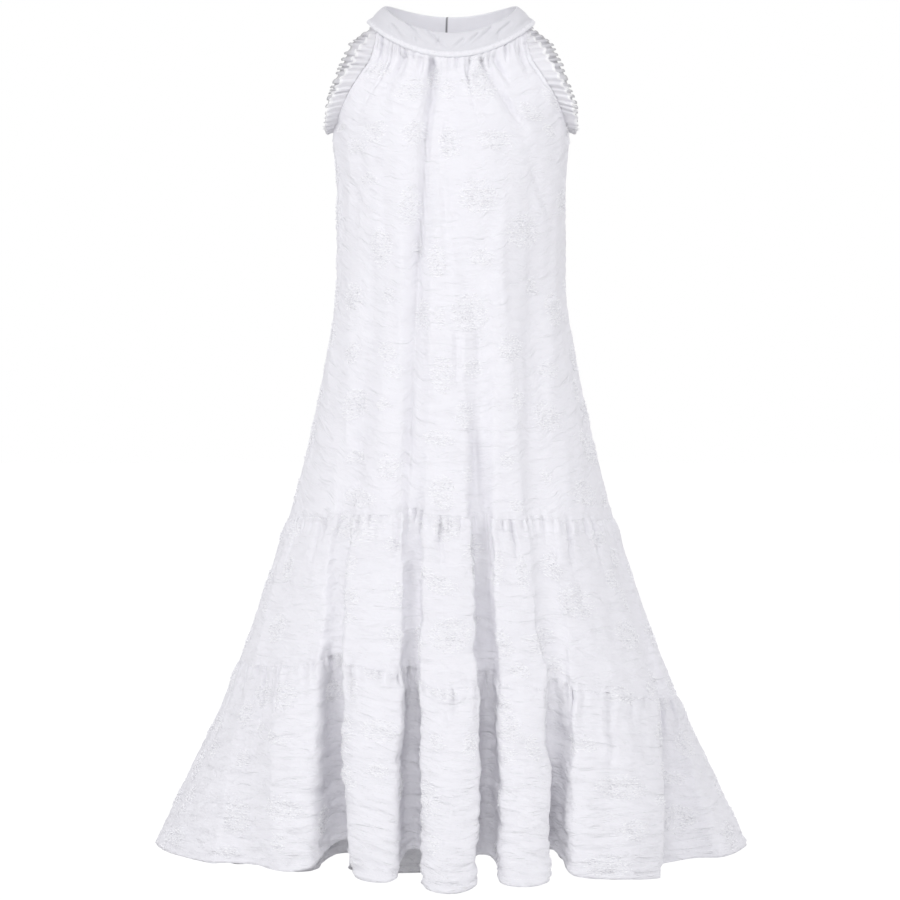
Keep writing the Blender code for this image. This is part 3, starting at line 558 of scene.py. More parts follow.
def ease_rows(grid, middle):
    """The rows near `middle` smoothed down the cloth, where two ways of shaping it meet."""
    rows = np.arange(len(grid))
    weight = bell(rows - middle, EASED_ROWS)[:, None, None]
    for _ in range(EASING_ROUNDS):
        spread = grid.copy()
        spread[1:-1] = (grid[:-2] + 2 * grid[1:-1] + grid[2:]) / 4
        grid = grid + weight * (spread - grid)
    return grid


def outward_normals(grid):
    """Outward directions of a grid whose rows run down and whose columns run to growing turns."""
    along = np.gradient(grid, axis=1)
    down = np.gradient(grid, axis=0)
    return unit(np.cross(along, -down))


def soft_noise(u, v, seed):
    """Smooth uneven values between about -1 and 1, with bumps one unit apart."""
    table = np.random.default_rng(seed).uniform(-1, 1, (64, 64))
    i = np.floor(u).astype(int)
    j = np.floor(v).astype(int)
    a = u - i
    b = v - j
    a = a * a * (3 - 2 * a)
    b = b * b * (3 - 2 * b)
    top = table[i % 64, j % 64] * (1 - a) + table[(i + 1) % 64, j % 64] * a
    low = table[i % 64, (j + 1) % 64] * (1 - a) + table[(i + 1) % 64, (j + 1) % 64] * a
    return top * (1 - b) + low * b


Gather = namedtuple("Gather", "at half depth length")


def uneven_gathers(length, pitch, depth, seed):
    """Gathers along a seam of this length, each with its own width, depth and reach."""
    rng = np.random.default_rng(seed)
    gathers = []
    at = pitch * rng.uniform(0.3, 0.9)
    while at < length - pitch * 0.3:
        width = pitch * rng.uniform(0.55, 1.6)
        reach = rng.choice([9.0, 16.0, 30.0, 62.0], p=[0.34, 0.32, 0.22, 0.12])
        reach = reach * rng.uniform(0.8, 1.3)
        deep = depth * rng.choice([0.4, 0.75, 1.2], p=[0.35, 0.35, 0.3])
        gathers.append(Gather(at, min(width * 0.5, 4.2), deep, reach))
        at += width
    return gathers


def gather_depth(gathers, along, below):
    """How far the gathers press the cloth in, at places along the seam and distances below it."""
    total = np.zeros(np.broadcast(along, below).shape)
    for gather in gathers:
        off = np.abs(along - gather.at) / gather.half
        near = np.clip(1 - off, 0, 1) ** 2 * (1 + 2 * off)
        total += gather.depth * near**1.4 * bell(below, gather.length)
    return total


def crinkles(along, below, seed):
    """Soft crinkles across the cloth: from -1 in their troughs to 1 on their ridges."""
    warp = 6.0 * soft_noise(along / 33.0, below / 45.0, seed)
    ridge = soft_noise(along / 17.0 + 3, (below + warp) / 3.4, seed + 1)
    patchy = 0.65 + 0.35 * soft_noise(along / 50.0, below / 38.0 + 5, seed + 2)
    return ridge * patchy


def add_allowance(grid, flat, last):
    """The cloth turned in at its seams: rows that go in behind the first row, and behind the last."""
    grid, flat = turn_in(grid, flat, True)
    if last:
        grid, flat = turn_in(grid, flat, False)
    return grid, flat


def turn_in(grid, flat, top):
    """One edge turned in behind the cloth, with a row close to it that keeps its fold narrow."""
    edge = grid[0] if top else grid[-1]
    reach = 3
    last = len(edge) - 1
    at = np.arange(len(edge))
    along = edge[np.clip(at + reach, 0, last), :2] - edge[np.clip(at - reach, 0, last), :2]
    # Rows run to growing turns, so the inside of the dress lies to their left.
    inward = unit(np.stack([-along[:, 1], along[:, 0], np.zeros(len(edge))], axis=-1))
    up = np.array([0.0, 0.0, 1.0 if top else -1.0])
    near = edge + inward * 0.12 + up * 0.08
    deep = edge + inward * ALLOWANCE + up * 0.2
    flat_edge = flat[0] if top else flat[-1]
    beside = grid[1] if top else grid[-2]
    share = EDGE_WIDTH / np.linalg.norm(beside - edge, axis=1, keepdims=True)
    hold = edge + (beside - edge) * share
    flat_beside = flat[1] if top else flat[-2]
    hold_flat = flat_edge + (flat_beside - flat_edge) * share
    step = np.array([0.0, 0.6])
    sign = -1 if top else 1
    near_flat = flat_edge + step * sign
    deep_flat = flat_edge + step * sign * 4
    if top:
        grid = np.concatenate([[deep], [near], grid[:1], [hold], grid[1:]])
        flat = np.concatenate([[deep_flat], [near_flat], flat[:1], [hold_flat], flat[1:]])
    else:
        grid = np.concatenate([grid[:-1], [hold], grid[-1:], [near], [deep]])
        flat = np.concatenate([flat[:-1], [hold_flat], flat[-1:], [near_flat], [deep_flat]])
    return grid, flat


Patch = namedtuple("Patch", "row column half_width half_height seed")
PATCH_HALF_WIDTHS = [7.0, 10.0, 13.5, 18.0]
PATCH_SHARES = [0.25, 0.35, 0.27, 0.13]
PLACE_REACH = 2.5


def scattered_patches(grid, spacing, seed, hidden_only):
    """Tufted patches at uneven places, about `spacing` apart over the cloth."""
    normals = outward_normals(grid)
    rng = np.random.default_rng(seed)
    rows, columns = grid.shape[:2]
    step_along = np.linalg.norm(np.diff(grid, axis=1), axis=-1)
    step_down = np.linalg.norm(np.diff(grid, axis=0), axis=-1)
    patches = []
    kept = []
    area = float((step_along[:-1] * step_down[:, :-1]).sum())
    wanted = int(area / spacing**2)
    for _ in range(wanted * 40):
        if len(patches) >= wanted:
            break
        i = rng.uniform(2, rows - 3)
        j = rng.uniform(2, columns - 3)
        place = grid[int(i), int(j)]
        half_width = rng.choice(PATCH_HALF_WIDTHS, p=PATCH_SHARES)
        half_width = half_width * rng.uniform(0.85, 1.15)
        half_height = half_width * rng.uniform(0.65, 1.15)
        if rng.random() > step_along[int(i), int(j)] / step_along.max():
            continue
        if hidden_only and normals[int(i), int(j), 1] < -0.3:
            continue
        if any(np.linalg.norm(place - other) < spacing * 0.72 for other in kept):
            continue
        kept.append(place)
        patches.append(Patch(i, j, half_width, half_height, int(rng.integers(1e6))))
    return patches


def placed_patches(grid, table, seed):
    """Tufted patches where the photograph shows them: the nearest cloth at each place."""
    rng = np.random.default_rng(seed)
    x, z = seen_place(grid)
    patches = []
    for px, pz, width, height in table:
        away = np.hypot(x - px, z - pz)
        near = away < max(away.min() + 1.5, PLACE_REACH)
        if away.min() > PLACE_REACH:
            continue
        depth = np.where(near, grid[..., 1], 1e9)
        i, j = np.unravel_index(int(depth.argmin()), depth.shape)
        patches.append(Patch(float(i), float(j), width / 2, height / 2, int(rng.integers(1e6))))
    return patches


def grid_at(grid, i, j):
    """Points of a grid at fractional rows and columns."""
    i = np.clip(i, 0, grid.shape[0] - 1.001)
    j = np.clip(j, 0, grid.shape[1] - 1.001)
    a = np.floor(i).astype(int)
    b = np.floor(j).astype(int)
    s = (i - a)[..., None]
    t = (j - b)[..., None]
    top = grid[a, b] * (1 - t) + grid[a, b + 1] * t
    low = grid[a + 1, b] * (1 - t) + grid[a + 1, b + 1] * t
    return top * (1 - s) + low * s


def patch_steps(grid, patch):
    """Spacing of the grid's columns and rows at a patch."""
    i = int(np.clip(patch.row, 1, grid.shape[0] - 2))
    j = int(np.clip(patch.column, 2, grid.shape[1] - 3))
    along = np.linalg.norm(grid[i, j + 2] - grid[i, j - 2]) / 4
    down = np.linalg.norm(grid[i + 1, j] - grid[i - 1, j]) / 2
    return max(along, 0.4), max(down, 0.4)


def tufted_share(grid, patches):
    """For each point of the grid, 1 in the middle of a tufted patch and 0 outside them."""
    share = np.zeros(grid.shape[:2])
    rows = np.arange(grid.shape[0])[:, None]
    columns = np.arange(grid.shape[1])[None, :]
    for patch in patches:
        along, down = patch_steps(grid, patch)
        across = (columns - patch.column) * along / patch.half_width
        below = (rows - patch.row) * down / patch.half_height
        share = np.maximum(share, np.clip(1.35 - np.hypot(across, below), 0, 1))
    return share


def joined_strands(name, lines, up, widths):
    """Many short threads as one mesh, each three-sided with one flat side facing up."""
    count, steps = lines.shape[:2]
    way = unit(np.gradient(lines, axis=1))
    other = unit(np.cross(way, up))
    side = np.cross(other, way)
    taper = np.sin(np.pi * (np.arange(1, steps - 1) / (steps - 1)) ** 0.8) ** 0.5
    radius = widths[:, None, None] / 2 * taper[None, :, None]
    rings = []
    for k in range(3):
        a = math.pi / 3 + 2 * math.pi * k / 3
        offset = side[:, 1:-1] * math.cos(a) + other[:, 1:-1] * math.sin(a)
        rings.append(lines[:, 1:-1] + offset * radius)
    rings = np.stack(rings, axis=2).reshape(count, -1, 3)
    points = np.concatenate([lines[:, :1], rings, lines[:, -1:]], axis=1)
    size = points.shape[1]
    local = [(0, 1 + (k + 1) % 3, 1 + k) for k in range(3)]
    for ring in range(steps - 3):
        low = 1 + 3 * ring
        for k in range(3):
            n = (k + 1) % 3
            local.append((low + k, low + n, low + 3 + n))
            local.append((low + k, low + 3 + n, low + 3 + k))
    low = 1 + 3 * (steps - 3)
    local += [(low + k, low + (k + 1) % 3, size - 1) for k in range(3)]
    faces = (np.arange(count)[:, None, None] * size + np.array(local)[None]).reshape(-1, 3)
    mesh = bpy.data.meshes.new(name)
    mesh.from_pydata((points.reshape(-1, 3) * MM).tolist(), [], faces.tolist())
    mesh.materials.append(thread_white)
    obj = bpy.data.objects.new(name, mesh)
    bpy.context.scene.collection.objects.link(obj)
    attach(obj, "root")
    return obj


THREAD_STEPS = np.linspace(0, 1, 3)[None]
FLOAT_LENGTHS = (2.4, 6.0)
FLOAT_WIDTHS = (0.7, 1.45)
FRAY_LENGTHS = (1.0, 3.2)
FRAY_WIDTHS = (0.5, 0.9)


def thread_mesh(name, grid, patches):
    """The cut threads of the tufted patches: floats along the weft, and their frayed ends."""
    normals = outward_normals(grid)
    floats = []
    float_ups = []
    float_widths = []
    frays = []
    fray_ups = []
    fray_widths = []
    for patch in patches:
        rng = np.random.default_rng(patch.seed)
        along, down = patch_steps(grid, patch)

        def place(right, below, lift):
            i = patch.row + below / down
            j = patch.column + right / along
            inside = (i > 0.5) & (i < grid.shape[0] - 1.5) & (j > 0.5) & (j < grid.shape[1] - 1.5)
            inside = inside.all(axis=-1)
            up = grid_at(normals, i, j)
            return (grid_at(grid, i, j) + up * lift[..., None])[inside], up[inside]

        levels = np.arange(-patch.half_height, patch.half_height + 0.1, FLOAT_PITCH)
        levels = levels + rng.uniform(-0.9, 0.9, len(levels))
        starts = []
        for level in levels:
            half = patch.half_width * math.sqrt(max(1 - (level / patch.half_height) ** 2, 0.08))
            half = half * rng.uniform(0.75, 1.15)
            at = -half + rng.uniform(-1.5, 2.0)
            while at < half:
                length = rng.uniform(*FLOAT_LENGTHS)
                starts.append((at, level, min(length, half - at + 2.0)))
                at += length * rng.uniform(0.9, 1.7)
        start = np.array(starts)
        share = THREAD_STEPS
        length = start[:, 2:3]
        bend = rng.normal(0, 0.6, (len(start), 1))
        tilt = rng.normal(0, 0.26, (len(start), 1))
        right = start[:, :1] + length * share
        below = start[:, 1:2] + bend * np.sin(np.pi * share) + tilt * length * (share - 0.5)
        below = below + rng.normal(0, 0.25, below.shape)
        lift = 0.1 + rng.uniform(0.2, 1.1, (len(start), 1)) * np.sin(np.pi * share) ** 0.7
        lines, up = place(right, below, lift)
        floats.append(lines)
        float_ups.append(up)
        float_widths.append(rng.uniform(*FLOAT_WIDTHS, len(lines)))
        # Frayed ends leave the floats at both ends and here and there between them.
        pick = rng.integers(0, len(start), int(len(start) * FRAYS_PER_FLOAT))
        at_end = rng.choice([0.0, 1.0, 0.5], len(pick), p=[0.4, 0.4, 0.2])[:, None]
        either = rng.choice([-1.0, 1.0], len(pick))[:, None]
        heading = np.where(at_end < 0.4, -1.0, np.where(at_end > 0.6, 1.0, either))
        lean = rng.normal(0, 0.9, (len(pick), 1))
        reach = rng.uniform(*FRAY_LENGTHS, (len(pick), 1))
        rise = rng.uniform(0.1, 1.3, (len(pick), 1)) ** 1.6 * 1.3
        right = start[pick, :1] + start[pick, 2:3] * at_end + heading * reach * share * np.cos(lean)
        below = start[pick, 1:2] + reach * share * np.sin(lean) + rng.normal(0, 0.3, (len(pick), 1))
        lift = 0.2 + rise * share
        lines, up = place(right, below, lift)
        frays.append(lines)
        fray_ups.append(up)
        fray_widths.append(rng.uniform(*FRAY_WIDTHS, len(lines)))
    body = [np.concatenate(rows) for rows in (floats, float_ups, float_widths)]
    ends = [np.concatenate(rows) for rows in (frays, fray_ups, fray_widths)]
    return [joined_strands(name, *body), joined_strands(name + "_ends", *ends)]


def stitch_line(name, grid, rows_at, columns_at):
    """Machine stitches along a line of places, given as rows and columns of the grid."""
    normals = outward_normals(grid)
    run = run_of(grid_at(grid, rows_at, columns_at))
    starts = np.arange(0.5, run[-1] - STITCH_PITCH, STITCH_PITCH)
    at = starts[:, None] + np.array([[0.0, 0.5, 1.0]]) * STITCH_LENGTH
    i = np.interp(at, run, rows_at)
    j = np.interp(at, run, columns_at)
    up = grid_at(normals, i, j)
    lift = np.array([0.02, 0.3, 0.02])[None, :, None]
    widths = np.full(len(starts), 0.5)
    return joined_strands(name, grid_at(grid, i, j) + up * lift, up, widths)


def seam_frays(name, grid, row, seed):
    """Short thread ends that stand out along a gathered seam."""
    rng = np.random.default_rng(seed)
    normals = outward_normals(grid)
    down = np.linalg.norm(np.diff(grid, axis=0), axis=-1).mean()
    run = run_of(grid[row])
    count = int(run[-1] / FRAY_SPACING)
    at = np.sort(rng.uniform(4.0, run[-1] - 4.0, count))[:, None]
    share = THREAD_STEPS
    lean = rng.normal(0, 1.1, (count, 1))
    reach = rng.uniform(1.2, 3.4, (count, 1))
    along = at + reach * (share - 0.3) * np.sin(lean)
    below = row + rng.uniform(0.0, 1.6, (count, 1)) / down
    below = below + reach * (share - 0.3) * np.cos(lean) / down + rng.normal(0, 0.15, (count, 3))
    j = np.interp(along, run, np.arange(len(run)))
    up = grid_at(normals, below, j)
    lift = 0.15 + rng.uniform(0.1, 1.1, (count, 1)) * share
    lines = grid_at(grid, below, j) + up * lift[..., None]
    return joined_strands(name, lines, up, rng.uniform(0.5, 1.0, count))


def mark_points(mesh, name, values):
    """Values for the material to read at each point of the cloth."""
    mark = mesh.attributes.new(name, "FLOAT", "POINT")
    mark.data.foreach_set("value", values.reshape(-1).astype(np.float32))


def cloth_piece(name, node, grid, flat, tufted, crinkled, thickness, material):
    """A thin cloth shell through a grid, in the place of its CAD node."""
    rows, columns = grid.shape[:2]
    index = np.arange(rows * columns).reshape(rows, columns)
    faces = np.stack([index[:-1, :-1], index[1:, :-1], index[1:, 1:], index[:-1, 1:]], axis=-1)
    faces = faces.reshape(-1, 4)
    mesh = bpy.data.meshes.new(name)
    mesh.from_pydata((grid.reshape(-1, 3) * MM).tolist(), [], faces.tolist())
    uv_map = mesh.uv_layers.new(name="flat_cloth")
    uv_map.data.foreach_set("uv", (flat.reshape(-1, 2) * MM)[faces.reshape(-1)].reshape(-1))
    mark_points(mesh, "tufted", tufted)
    mark_points(mesh, "crinkled", crinkled)
    mesh.shade_smooth()
    obj = bpy.data.objects.new(name, mesh)
    bpy.context.scene.collection.objects.link(obj)
    mesh.materials.append(material)
    wall = obj.modifiers.new("cloth_wall", "SOLIDIFY")
    wall.thickness = thickness * MM
    wall.offset = -1.0
    bpy.ops.object.select_all(action="DESELECT")
    bpy.context.view_layer.objects.active = obj
    obj.select_set(True)
    bpy.ops.object.modifier_apply(modifier=wall.name)
    obj.select_set(False)
    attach(obj, "root")
    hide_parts(node)
    return obj


def add_node(tree, kind, *inputs, **values):
    """A shader node with its settings. Its sockets take values, or what another node puts out."""
    node = tree.nodes.new(kind)
    sockets = list(enumerate(inputs))
    for name, value in values.items():
        if name in node.bl_rna.properties:
            setattr(node, name, value)
        else:
            sockets.append((name.replace("_", " "), value))
    for name, value in sockets:
        if isinstance(value, bpy.types.NodeSocket):
            tree.links.new(value, node.inputs[name])
        else:
            node.inputs[name].default_value = value
    return node


def maths(tree, operation, *inputs):
    """What one step of arithmetic puts out."""
    return add_node(tree, "ShaderNodeMath", *inputs, operation=operation).outputs[0]


def noise_at(tree, place, scale, detail, roughness, distortion):
    """Noise over the flat cloth, at a scale along its rows and one down them."""
    wide = add_node(tree, "ShaderNodeVectorMath", place, (*scale, 1.0), operation="MULTIPLY").outputs[0]
    noise = add_node(tree, "ShaderNodeTexNoise", Vector=wide, Scale=1.0, Detail=detail)
    noise.inputs["Roughness"].default_value = roughness
    noise.inputs["Distortion"].default_value = distortion
    return noise.outputs["Fac"]


def mixed(tree, share, first, second):
    """Two colours mixed by a share."""
    mix = add_node(tree, "ShaderNodeMix", data_type="RGBA", Factor=share, A=first, B=second)
    return mix.outputs["Result"]


def new_group(name, inputs, outputs):
    """An empty shader node group with its sockets, given as (name, kind, value)."""
    group = bpy.data.node_groups.new(name, "ShaderNodeTree")
    for socket_name, kind, value in inputs:
        socket = group.interface.new_socket(name=socket_name, in_out="INPUT", socket_type=kind)
        if value is not None:
            socket.default_value = value
    for socket_name, kind in outputs:
        group.interface.new_socket(name=socket_name, in_out="OUTPUT", socket_type=kind)
    return group, group.nodes.new("NodeGroupInput"), group.nodes.new("NodeGroupOutput")


def crinkled_weave():
    """Height of a crinkled plain weave, thin ripples across and single threads, and painted shade that
    darkens the ripples' troughs.
    """
    group, source, result = new_group(
        "crinkled_weave",
        [
            ("Flat Place", "NodeSocketVector", None),
            ("Crinkle", "NodeSocketFloat", 1.0),
            ("Thread", "NodeSocketFloat", 0.12),
        ],
        [("Height", "NodeSocketFloat"), ("Trough Shade", "NodeSocketFloat")],
    )
    place = source.outputs["Flat Place"]
    ripple = noise_at(group, place, (34.0, 125.0), 3.0, 0.55, 0.9)
    small = noise_at(group, place, (150.0, 620.0), 2.0, 0.5, 0.4)
    valley = maths(group, "ABSOLUTE", maths(group, "MULTIPLY_ADD", ripple, 2.0, -1.0))
    ridge = maths(group, "MULTIPLY_ADD", valley, -0.3, ripple)
    both = maths(group, "MULTIPLY_ADD", small, 0.3, ridge)
    crinkle = maths(group, "MULTIPLY", both, source.outputs["Crinkle"])
    bands = []
    for way in ("X", "Y"):
        band = add_node(group, "ShaderNodeTexWave", wave_type="BANDS", bands_direction=way, Vector=place)
        band.inputs["Scale"].default_value = 520.0
        band.inputs["Distortion"].default_value = 0.0
        bands.append(band.outputs["Fac"])
    threads = maths(group, "MULTIPLY", *bands)
    height = maths(group, "MULTIPLY_ADD", threads, source.outputs["Thread"], crinkle)
    group.links.new(height, result.inputs["Height"])
    # The ripple also goes out as painted shade, which darkens its troughs.
    group.links.new(ripple, result.inputs["Trough Shade"])
    return group


def tufted_ground():
    """Mask, specks of painted shade and height of the tufted patches, with their soft edges broken up into
    fibres.
    """
    group, source, result = new_group(
        "tufted_ground",
        [("Flat Place", "NodeSocketVector", None), ("Tufted", "NodeSocketFloat", 0.0)],
        [("Mask", "NodeSocketFloat"), ("Specks", "NodeSocketFloat"), ("Height", "NodeSocketFloat")],
    )
    place = source.outputs["Flat Place"]
    share = source.outputs["Tufted"]
    fibres = noise_at(group, place, (280.0, 560.0), 3.0, 0.6, 1.5)
    broken = maths(group, "MULTIPLY_ADD", fibres, 1.5, share)
    mask = add_node(group, "ShaderNodeMapRange", broken, From_Min=0.95, From_Max=1.35).outputs["Result"]
    height = maths(group, "MULTIPLY", maths(group, "MULTIPLY", share, fibres), 0.5)
    # Grey specks inside the patches are painted shade, for the gaps between the cut threads.
    gap_noise = noise_at(group, place, (240.0, 520.0), 2.0, 0.55, 0.8)
    dark = add_node(group, "ShaderNodeMapRange", gap_noise, From_Min=0.56, From_Max=0.63).outputs["Result"]
    group.links.new(maths(group, "MULTIPLY", dark, mask), result.inputs["Specks"])
    group.links.new(mask, result.inputs["Mask"])
    group.links.new(height, result.inputs["Height"])
    return group


# Colour of the painted shade that the cloth materials mix into their colour where a mark on the cloth's
# points asks for it.
SHADE_COLOUR = (0.2, 0.195, 0.21)
CRINKLED_WEAVE = crinkled_weave()
TUFTED_GROUND = tufted_ground()


def cloth_finish(name, ground, tuft_colour, speck_shade_colour, crinkle, thread):
    """White cotton: crinkled weave, darker in the troughs of its ripples as painted shade, and whiter fibres
    with grey specks of painted shade between them where the tufts are.

    Marks on the cloth's points say where it is tufted, how much it is crinkled, and where shade is painted,
    such as in the slit between the neckband's ends and on the outer edge of the frills' back halves.
    """
    material = bpy.data.materials.new(name)
    material.use_nodes = True
    tree = material.node_tree
    link = tree.links.new
    shader = tree.nodes["Principled BSDF"]
    shader.inputs["Roughness"].default_value = 0.85
    shader.inputs["Sheen Weight"].default_value = 0.12
    shader.inputs["Sheen Roughness"].default_value = 0.5
    shader.inputs["Specular IOR Level"].default_value = 0.25
    place = add_node(tree, "ShaderNodeUVMap", uv_map="flat_cloth").outputs["UV"]
    marks = {}
    for mark in ("crinkled", "tufted", "painted_shade"):
        marks[mark] = add_node(tree, "ShaderNodeAttribute", attribute_name=mark).outputs["Fac"]
    crumple = maths(tree, "MULTIPLY", marks["crinkled"], crinkle)
    weave = add_node(tree, "ShaderNodeGroup", node_tree=CRINKLED_WEAVE, Flat_Place=place, Crinkle=crumple)
    weave.inputs["Thread"].default_value = thread
    patches = add_node(tree, "ShaderNodeGroup", node_tree=TUFTED_GROUND, Flat_Place=place)
    link(marks["tufted"], patches.inputs["Tufted"])
    # Painted shade: the troughs of the ripples are up to 2.5% darker than the ground colour.
    trough_shade = add_node(tree, "ShaderNodeMapRange", weave.outputs["Trough Shade"], From_Min=0.25, From_Max=0.75)
    darker = [0.975 * c for c in ground]
    colour = mixed(tree, trough_shade.outputs["Result"], (*darker, 1.0), (*ground, 1.0))
    colour = mixed(tree, patches.outputs["Mask"], colour, (*tuft_colour, 1.0))
    # Painted shade: grey specks in the gaps between the tufts' cut threads, in the speck colour.
    colour = mixed(tree, patches.outputs["Specks"], colour, (*speck_shade_colour, 1.0))
    # Painted shade: the colour darkened towards the shade colour where the cloth's points are marked.
    colour = mixed(tree, marks["painted_shade"], colour, (*SHADE_COLOUR, 1.0))
    link(colour, shader.inputs["Base Color"])
    relief = maths(tree, "ADD", weave.outputs["Height"], patches.outputs["Height"])
    bump = add_node(tree, "ShaderNodeBump", Strength=1.0, Distance=0.0011, Height=relief)
    link(bump.outputs["Normal"], shader.inputs["Normal"])
    return material


cut_thread_cloth = cloth_finish(
    "cut_thread_cloth", (0.84, 0.833, 0.875), (0.87, 0.865, 0.9), (0.755, 0.75, 0.79), 1.6, 0.1
)

thread_white = bpy.data.materials.new("clipped_thread")
thread_white.use_nodes = True
thread_shader = thread_white.node_tree.nodes["Principled BSDF"]
thread_shader.inputs["Base Color"].default_value = (0.93, 0.927, 0.95, 1.0)
thread_shader.inputs["Roughness"].default_value = 0.7
thread_shader.inputs["Sheen Weight"].default_value = 0.3
thread_shader.inputs["Sheen Roughness"].default_value = 0.4

TUFT_SPACING = 47.0

# Tufted patches that show in front: middle (x, z) on the plane of the side seams, width and height.
FRONT_TUFTS = [
    (-75, -32, 24, 22), (-40, -50, 28, 26), (-6, -51, 14, 22), (29, -46, 34, 32), (-39, -92, 24, 22),
    (-79, -92, 26, 22), (-97, -108, 24, 16), (-3, -104, 20, 32), (45, -101, 36, 18), (81, -74, 26, 22),
    (101, -92, 16, 16), (-83, -141, 18, 14), (-41, -168, 22, 36), (27, -158, 38, 34), (73, -194, 40, 32),
    (-72, -208, 26, 38), (-13, -222, 18, 34), (31, -218, 24, 16), (81, -247, 16, 18), (-32, -212, 10, 14),
    (-101, -257, 27, 28), (-64, -256, 12, 14), (-30, -277, 22, 30), (19, -274, 36, 36), (-9, -280, 10, 20),
    (105, -272, 26, 34), (-100, -313, 18, 22), (-66, -312, 20, 20), (-58, -332, 16, 14), (60, -310, 28, 26),
    (-11, -336, 22, 36), (23, -330, 22, 18), (99, -332, 22, 18), (127, -351, 14, 24), (-97, -365, 34, 30),
    (-71, -366, 12, 12), (68, -361, 16, 18), (15, -378, 20, 24), (96, -379, 30, 30), (-14, -400, 30, 16),
    (133, -400, 16, 18), (-95, -417, 22, 14), (-64, -429, 22, 24), (57, -424, 12, 16), (20, -437, 14, 14),
    (97, -437, 13, 11), (-7, -452, 26, 32), (135, -455, 36, 28), (-94, -461, 36, 18), (66, -469, 16, 14),
    (-165, -532, 22, 26), (-159, -491, 16, 24), (-175, -590, 28, 30), (-103, -527, 12, 26),
    (-101, -559, 18, 22), (-56, -507, 16, 14), (-55, -557, 14, 22), (-56, -602, 20, 24), (-3, -491, 28, 24),
    (-11, -547, 28, 18), (1, -597, 42, 34), (24, -530, 12, 26), (47, -527, 10, 30), (51, -602, 16, 28),
    (101, -528, 24, 26), (73, -534, 12, 36), (124, -564, 42, 34), (162, -542, 18, 22), (176, -597, 30, 30),
    (105, -625, 24, 15), (69, -631, 20, 14), (-171, -657, 34, 28), (-207, -675, 16, 24), (-180, -699, 27, 14),
    (-238, -709, 18, 18), (-209, -719, 16, 19), (-261, -756, 20, 19), (-216, -779, 30, 34),
    (-175, -769, 42, 24), (-275, -797, 32, 20), (-176, -804, 18, 17), (-226, -813, 26, 11),
    (-117, -652, 22, 20), (-106, -690, 14, 28), (-74, -693, 42, 22), (-108, -739, 22, 24),
    (-73, -732, 20, 14),
    (-101, -650, 14, 24), (-80, -636, 20, 10), (-15, -703, 14, 15), (-25, -761, 22, 34), (-19, -807, 13, 20),
    (-9, -654, 28, 12), (19, -707, 16, 24), (61, -690, 22, 26), (82, -709, 14, 26), (54, -717, 14, 18),
    (171, -749, 54, 25), (184, -792, 34, 22), (156, -828, 50, 23), (173, -658, 32, 16), (212, -694, 21, 26),
    (236, -706, 22, 28), (225, -741, 29, 12), (226, -779, 48, 24), (279, -797, 26, 30), (200, -650, 16, 15),
    (139, -705, 18, 16), (268, -750, 9, 14), (210, -762, 16, 10), (-104, -818, 12, 34), (51, -668, 12, 24),
]
FLOAT_PITCH = 1.8
FRAYS_PER_FLOAT = 0.95
STITCH_PITCH = 3.0
STITCH_LENGTH = 2.1
FRAY_SPACING = 2.0
NECK_PITCH = 6.4
TIER_PITCH = 8.4
SEAM_GATHER = 6.0
ARMHOLE_FOLD = 5.5
SEAM_CALM = 14.0
SEAM_PULL = 7.0
DRIFT_REACH = 8.0

seam_gathers = {}


def fine_phases(side):
    """Close phases from one side seam to the other."""
    return np.linspace(-0.5, len(VALLEYS[side]) - 0.5, 3000)


def gathers_of(side, seam):
    """The gathers along a seam, and fine phases with the length of cloth up to each."""
    if (side, seam) not in seam_gathers:
        level = 1.0 if seam == "upper_seam" else 2.0
        bottom = "lower_seam" if seam == "upper_seam" else "hem"
        phase = fine_phases(side)
        run = run_of(fold_row(side, seam, bottom, level, 0.0, phase))
        seed = {"front": 11, "back": 23}[side] + {"upper_seam": 0, "lower_seam": 5}[seam]
        seam_gathers[side, seam] = (uneven_gathers(run[-1], TIER_PITCH, SEAM_GATHER, seed), phase, run)
    return seam_gathers[side, seam]


def seam_wave(side, seam, phase):
    """How far in the cloth lies at a gathered seam."""
    gathers, fine, run = gathers_of(side, seam)
    return 0.4 * gather_depth(gathers, np.interp(phase, fine, run), 0.0)


def seam_drift(side, seam, phase):
    """How far a seam wanders up and down where its gathers pull it."""
    _, fine, run = gathers_of(side, seam)
    place = np.interp(phase, fine, run)
    still = ramp(np.minimum(place, run[-1] - place), 12.0)
    slow = 0.9 * soft_noise(place / 9.0, np.full(len(place), 3.0), 81)
    quick = 0.55 * soft_noise(place / 3.6, np.full(len(place), 7.0), 82)
    return still * (slow + quick)


def side_seam(from_seam, below, seed):
    """How far a seam down the dress draws the cloth in, with its puckers."""
    groove = 0.55 * bell(from_seam, 1.3)
    puckers = bell(from_seam, 7.0) - bell(from_seam, 1.5)
    return groove + 0.6 * puckers * soft_noise(from_seam / 30.0, below / 5.0, seed)


def tufts_on(name, grid, side, seed):
    """The tufts of a piece: how tufted each point of the grid is, and their threads."""
    patches = scattered_patches(grid, TUFT_SPACING, seed + 3, side == "front")
    if side == "front":
        patches += placed_patches(grid, FRONT_TUFTS, seed + 4)
    return tufted_share(grid, patches), thread_mesh(name + "_threads", grid, patches)


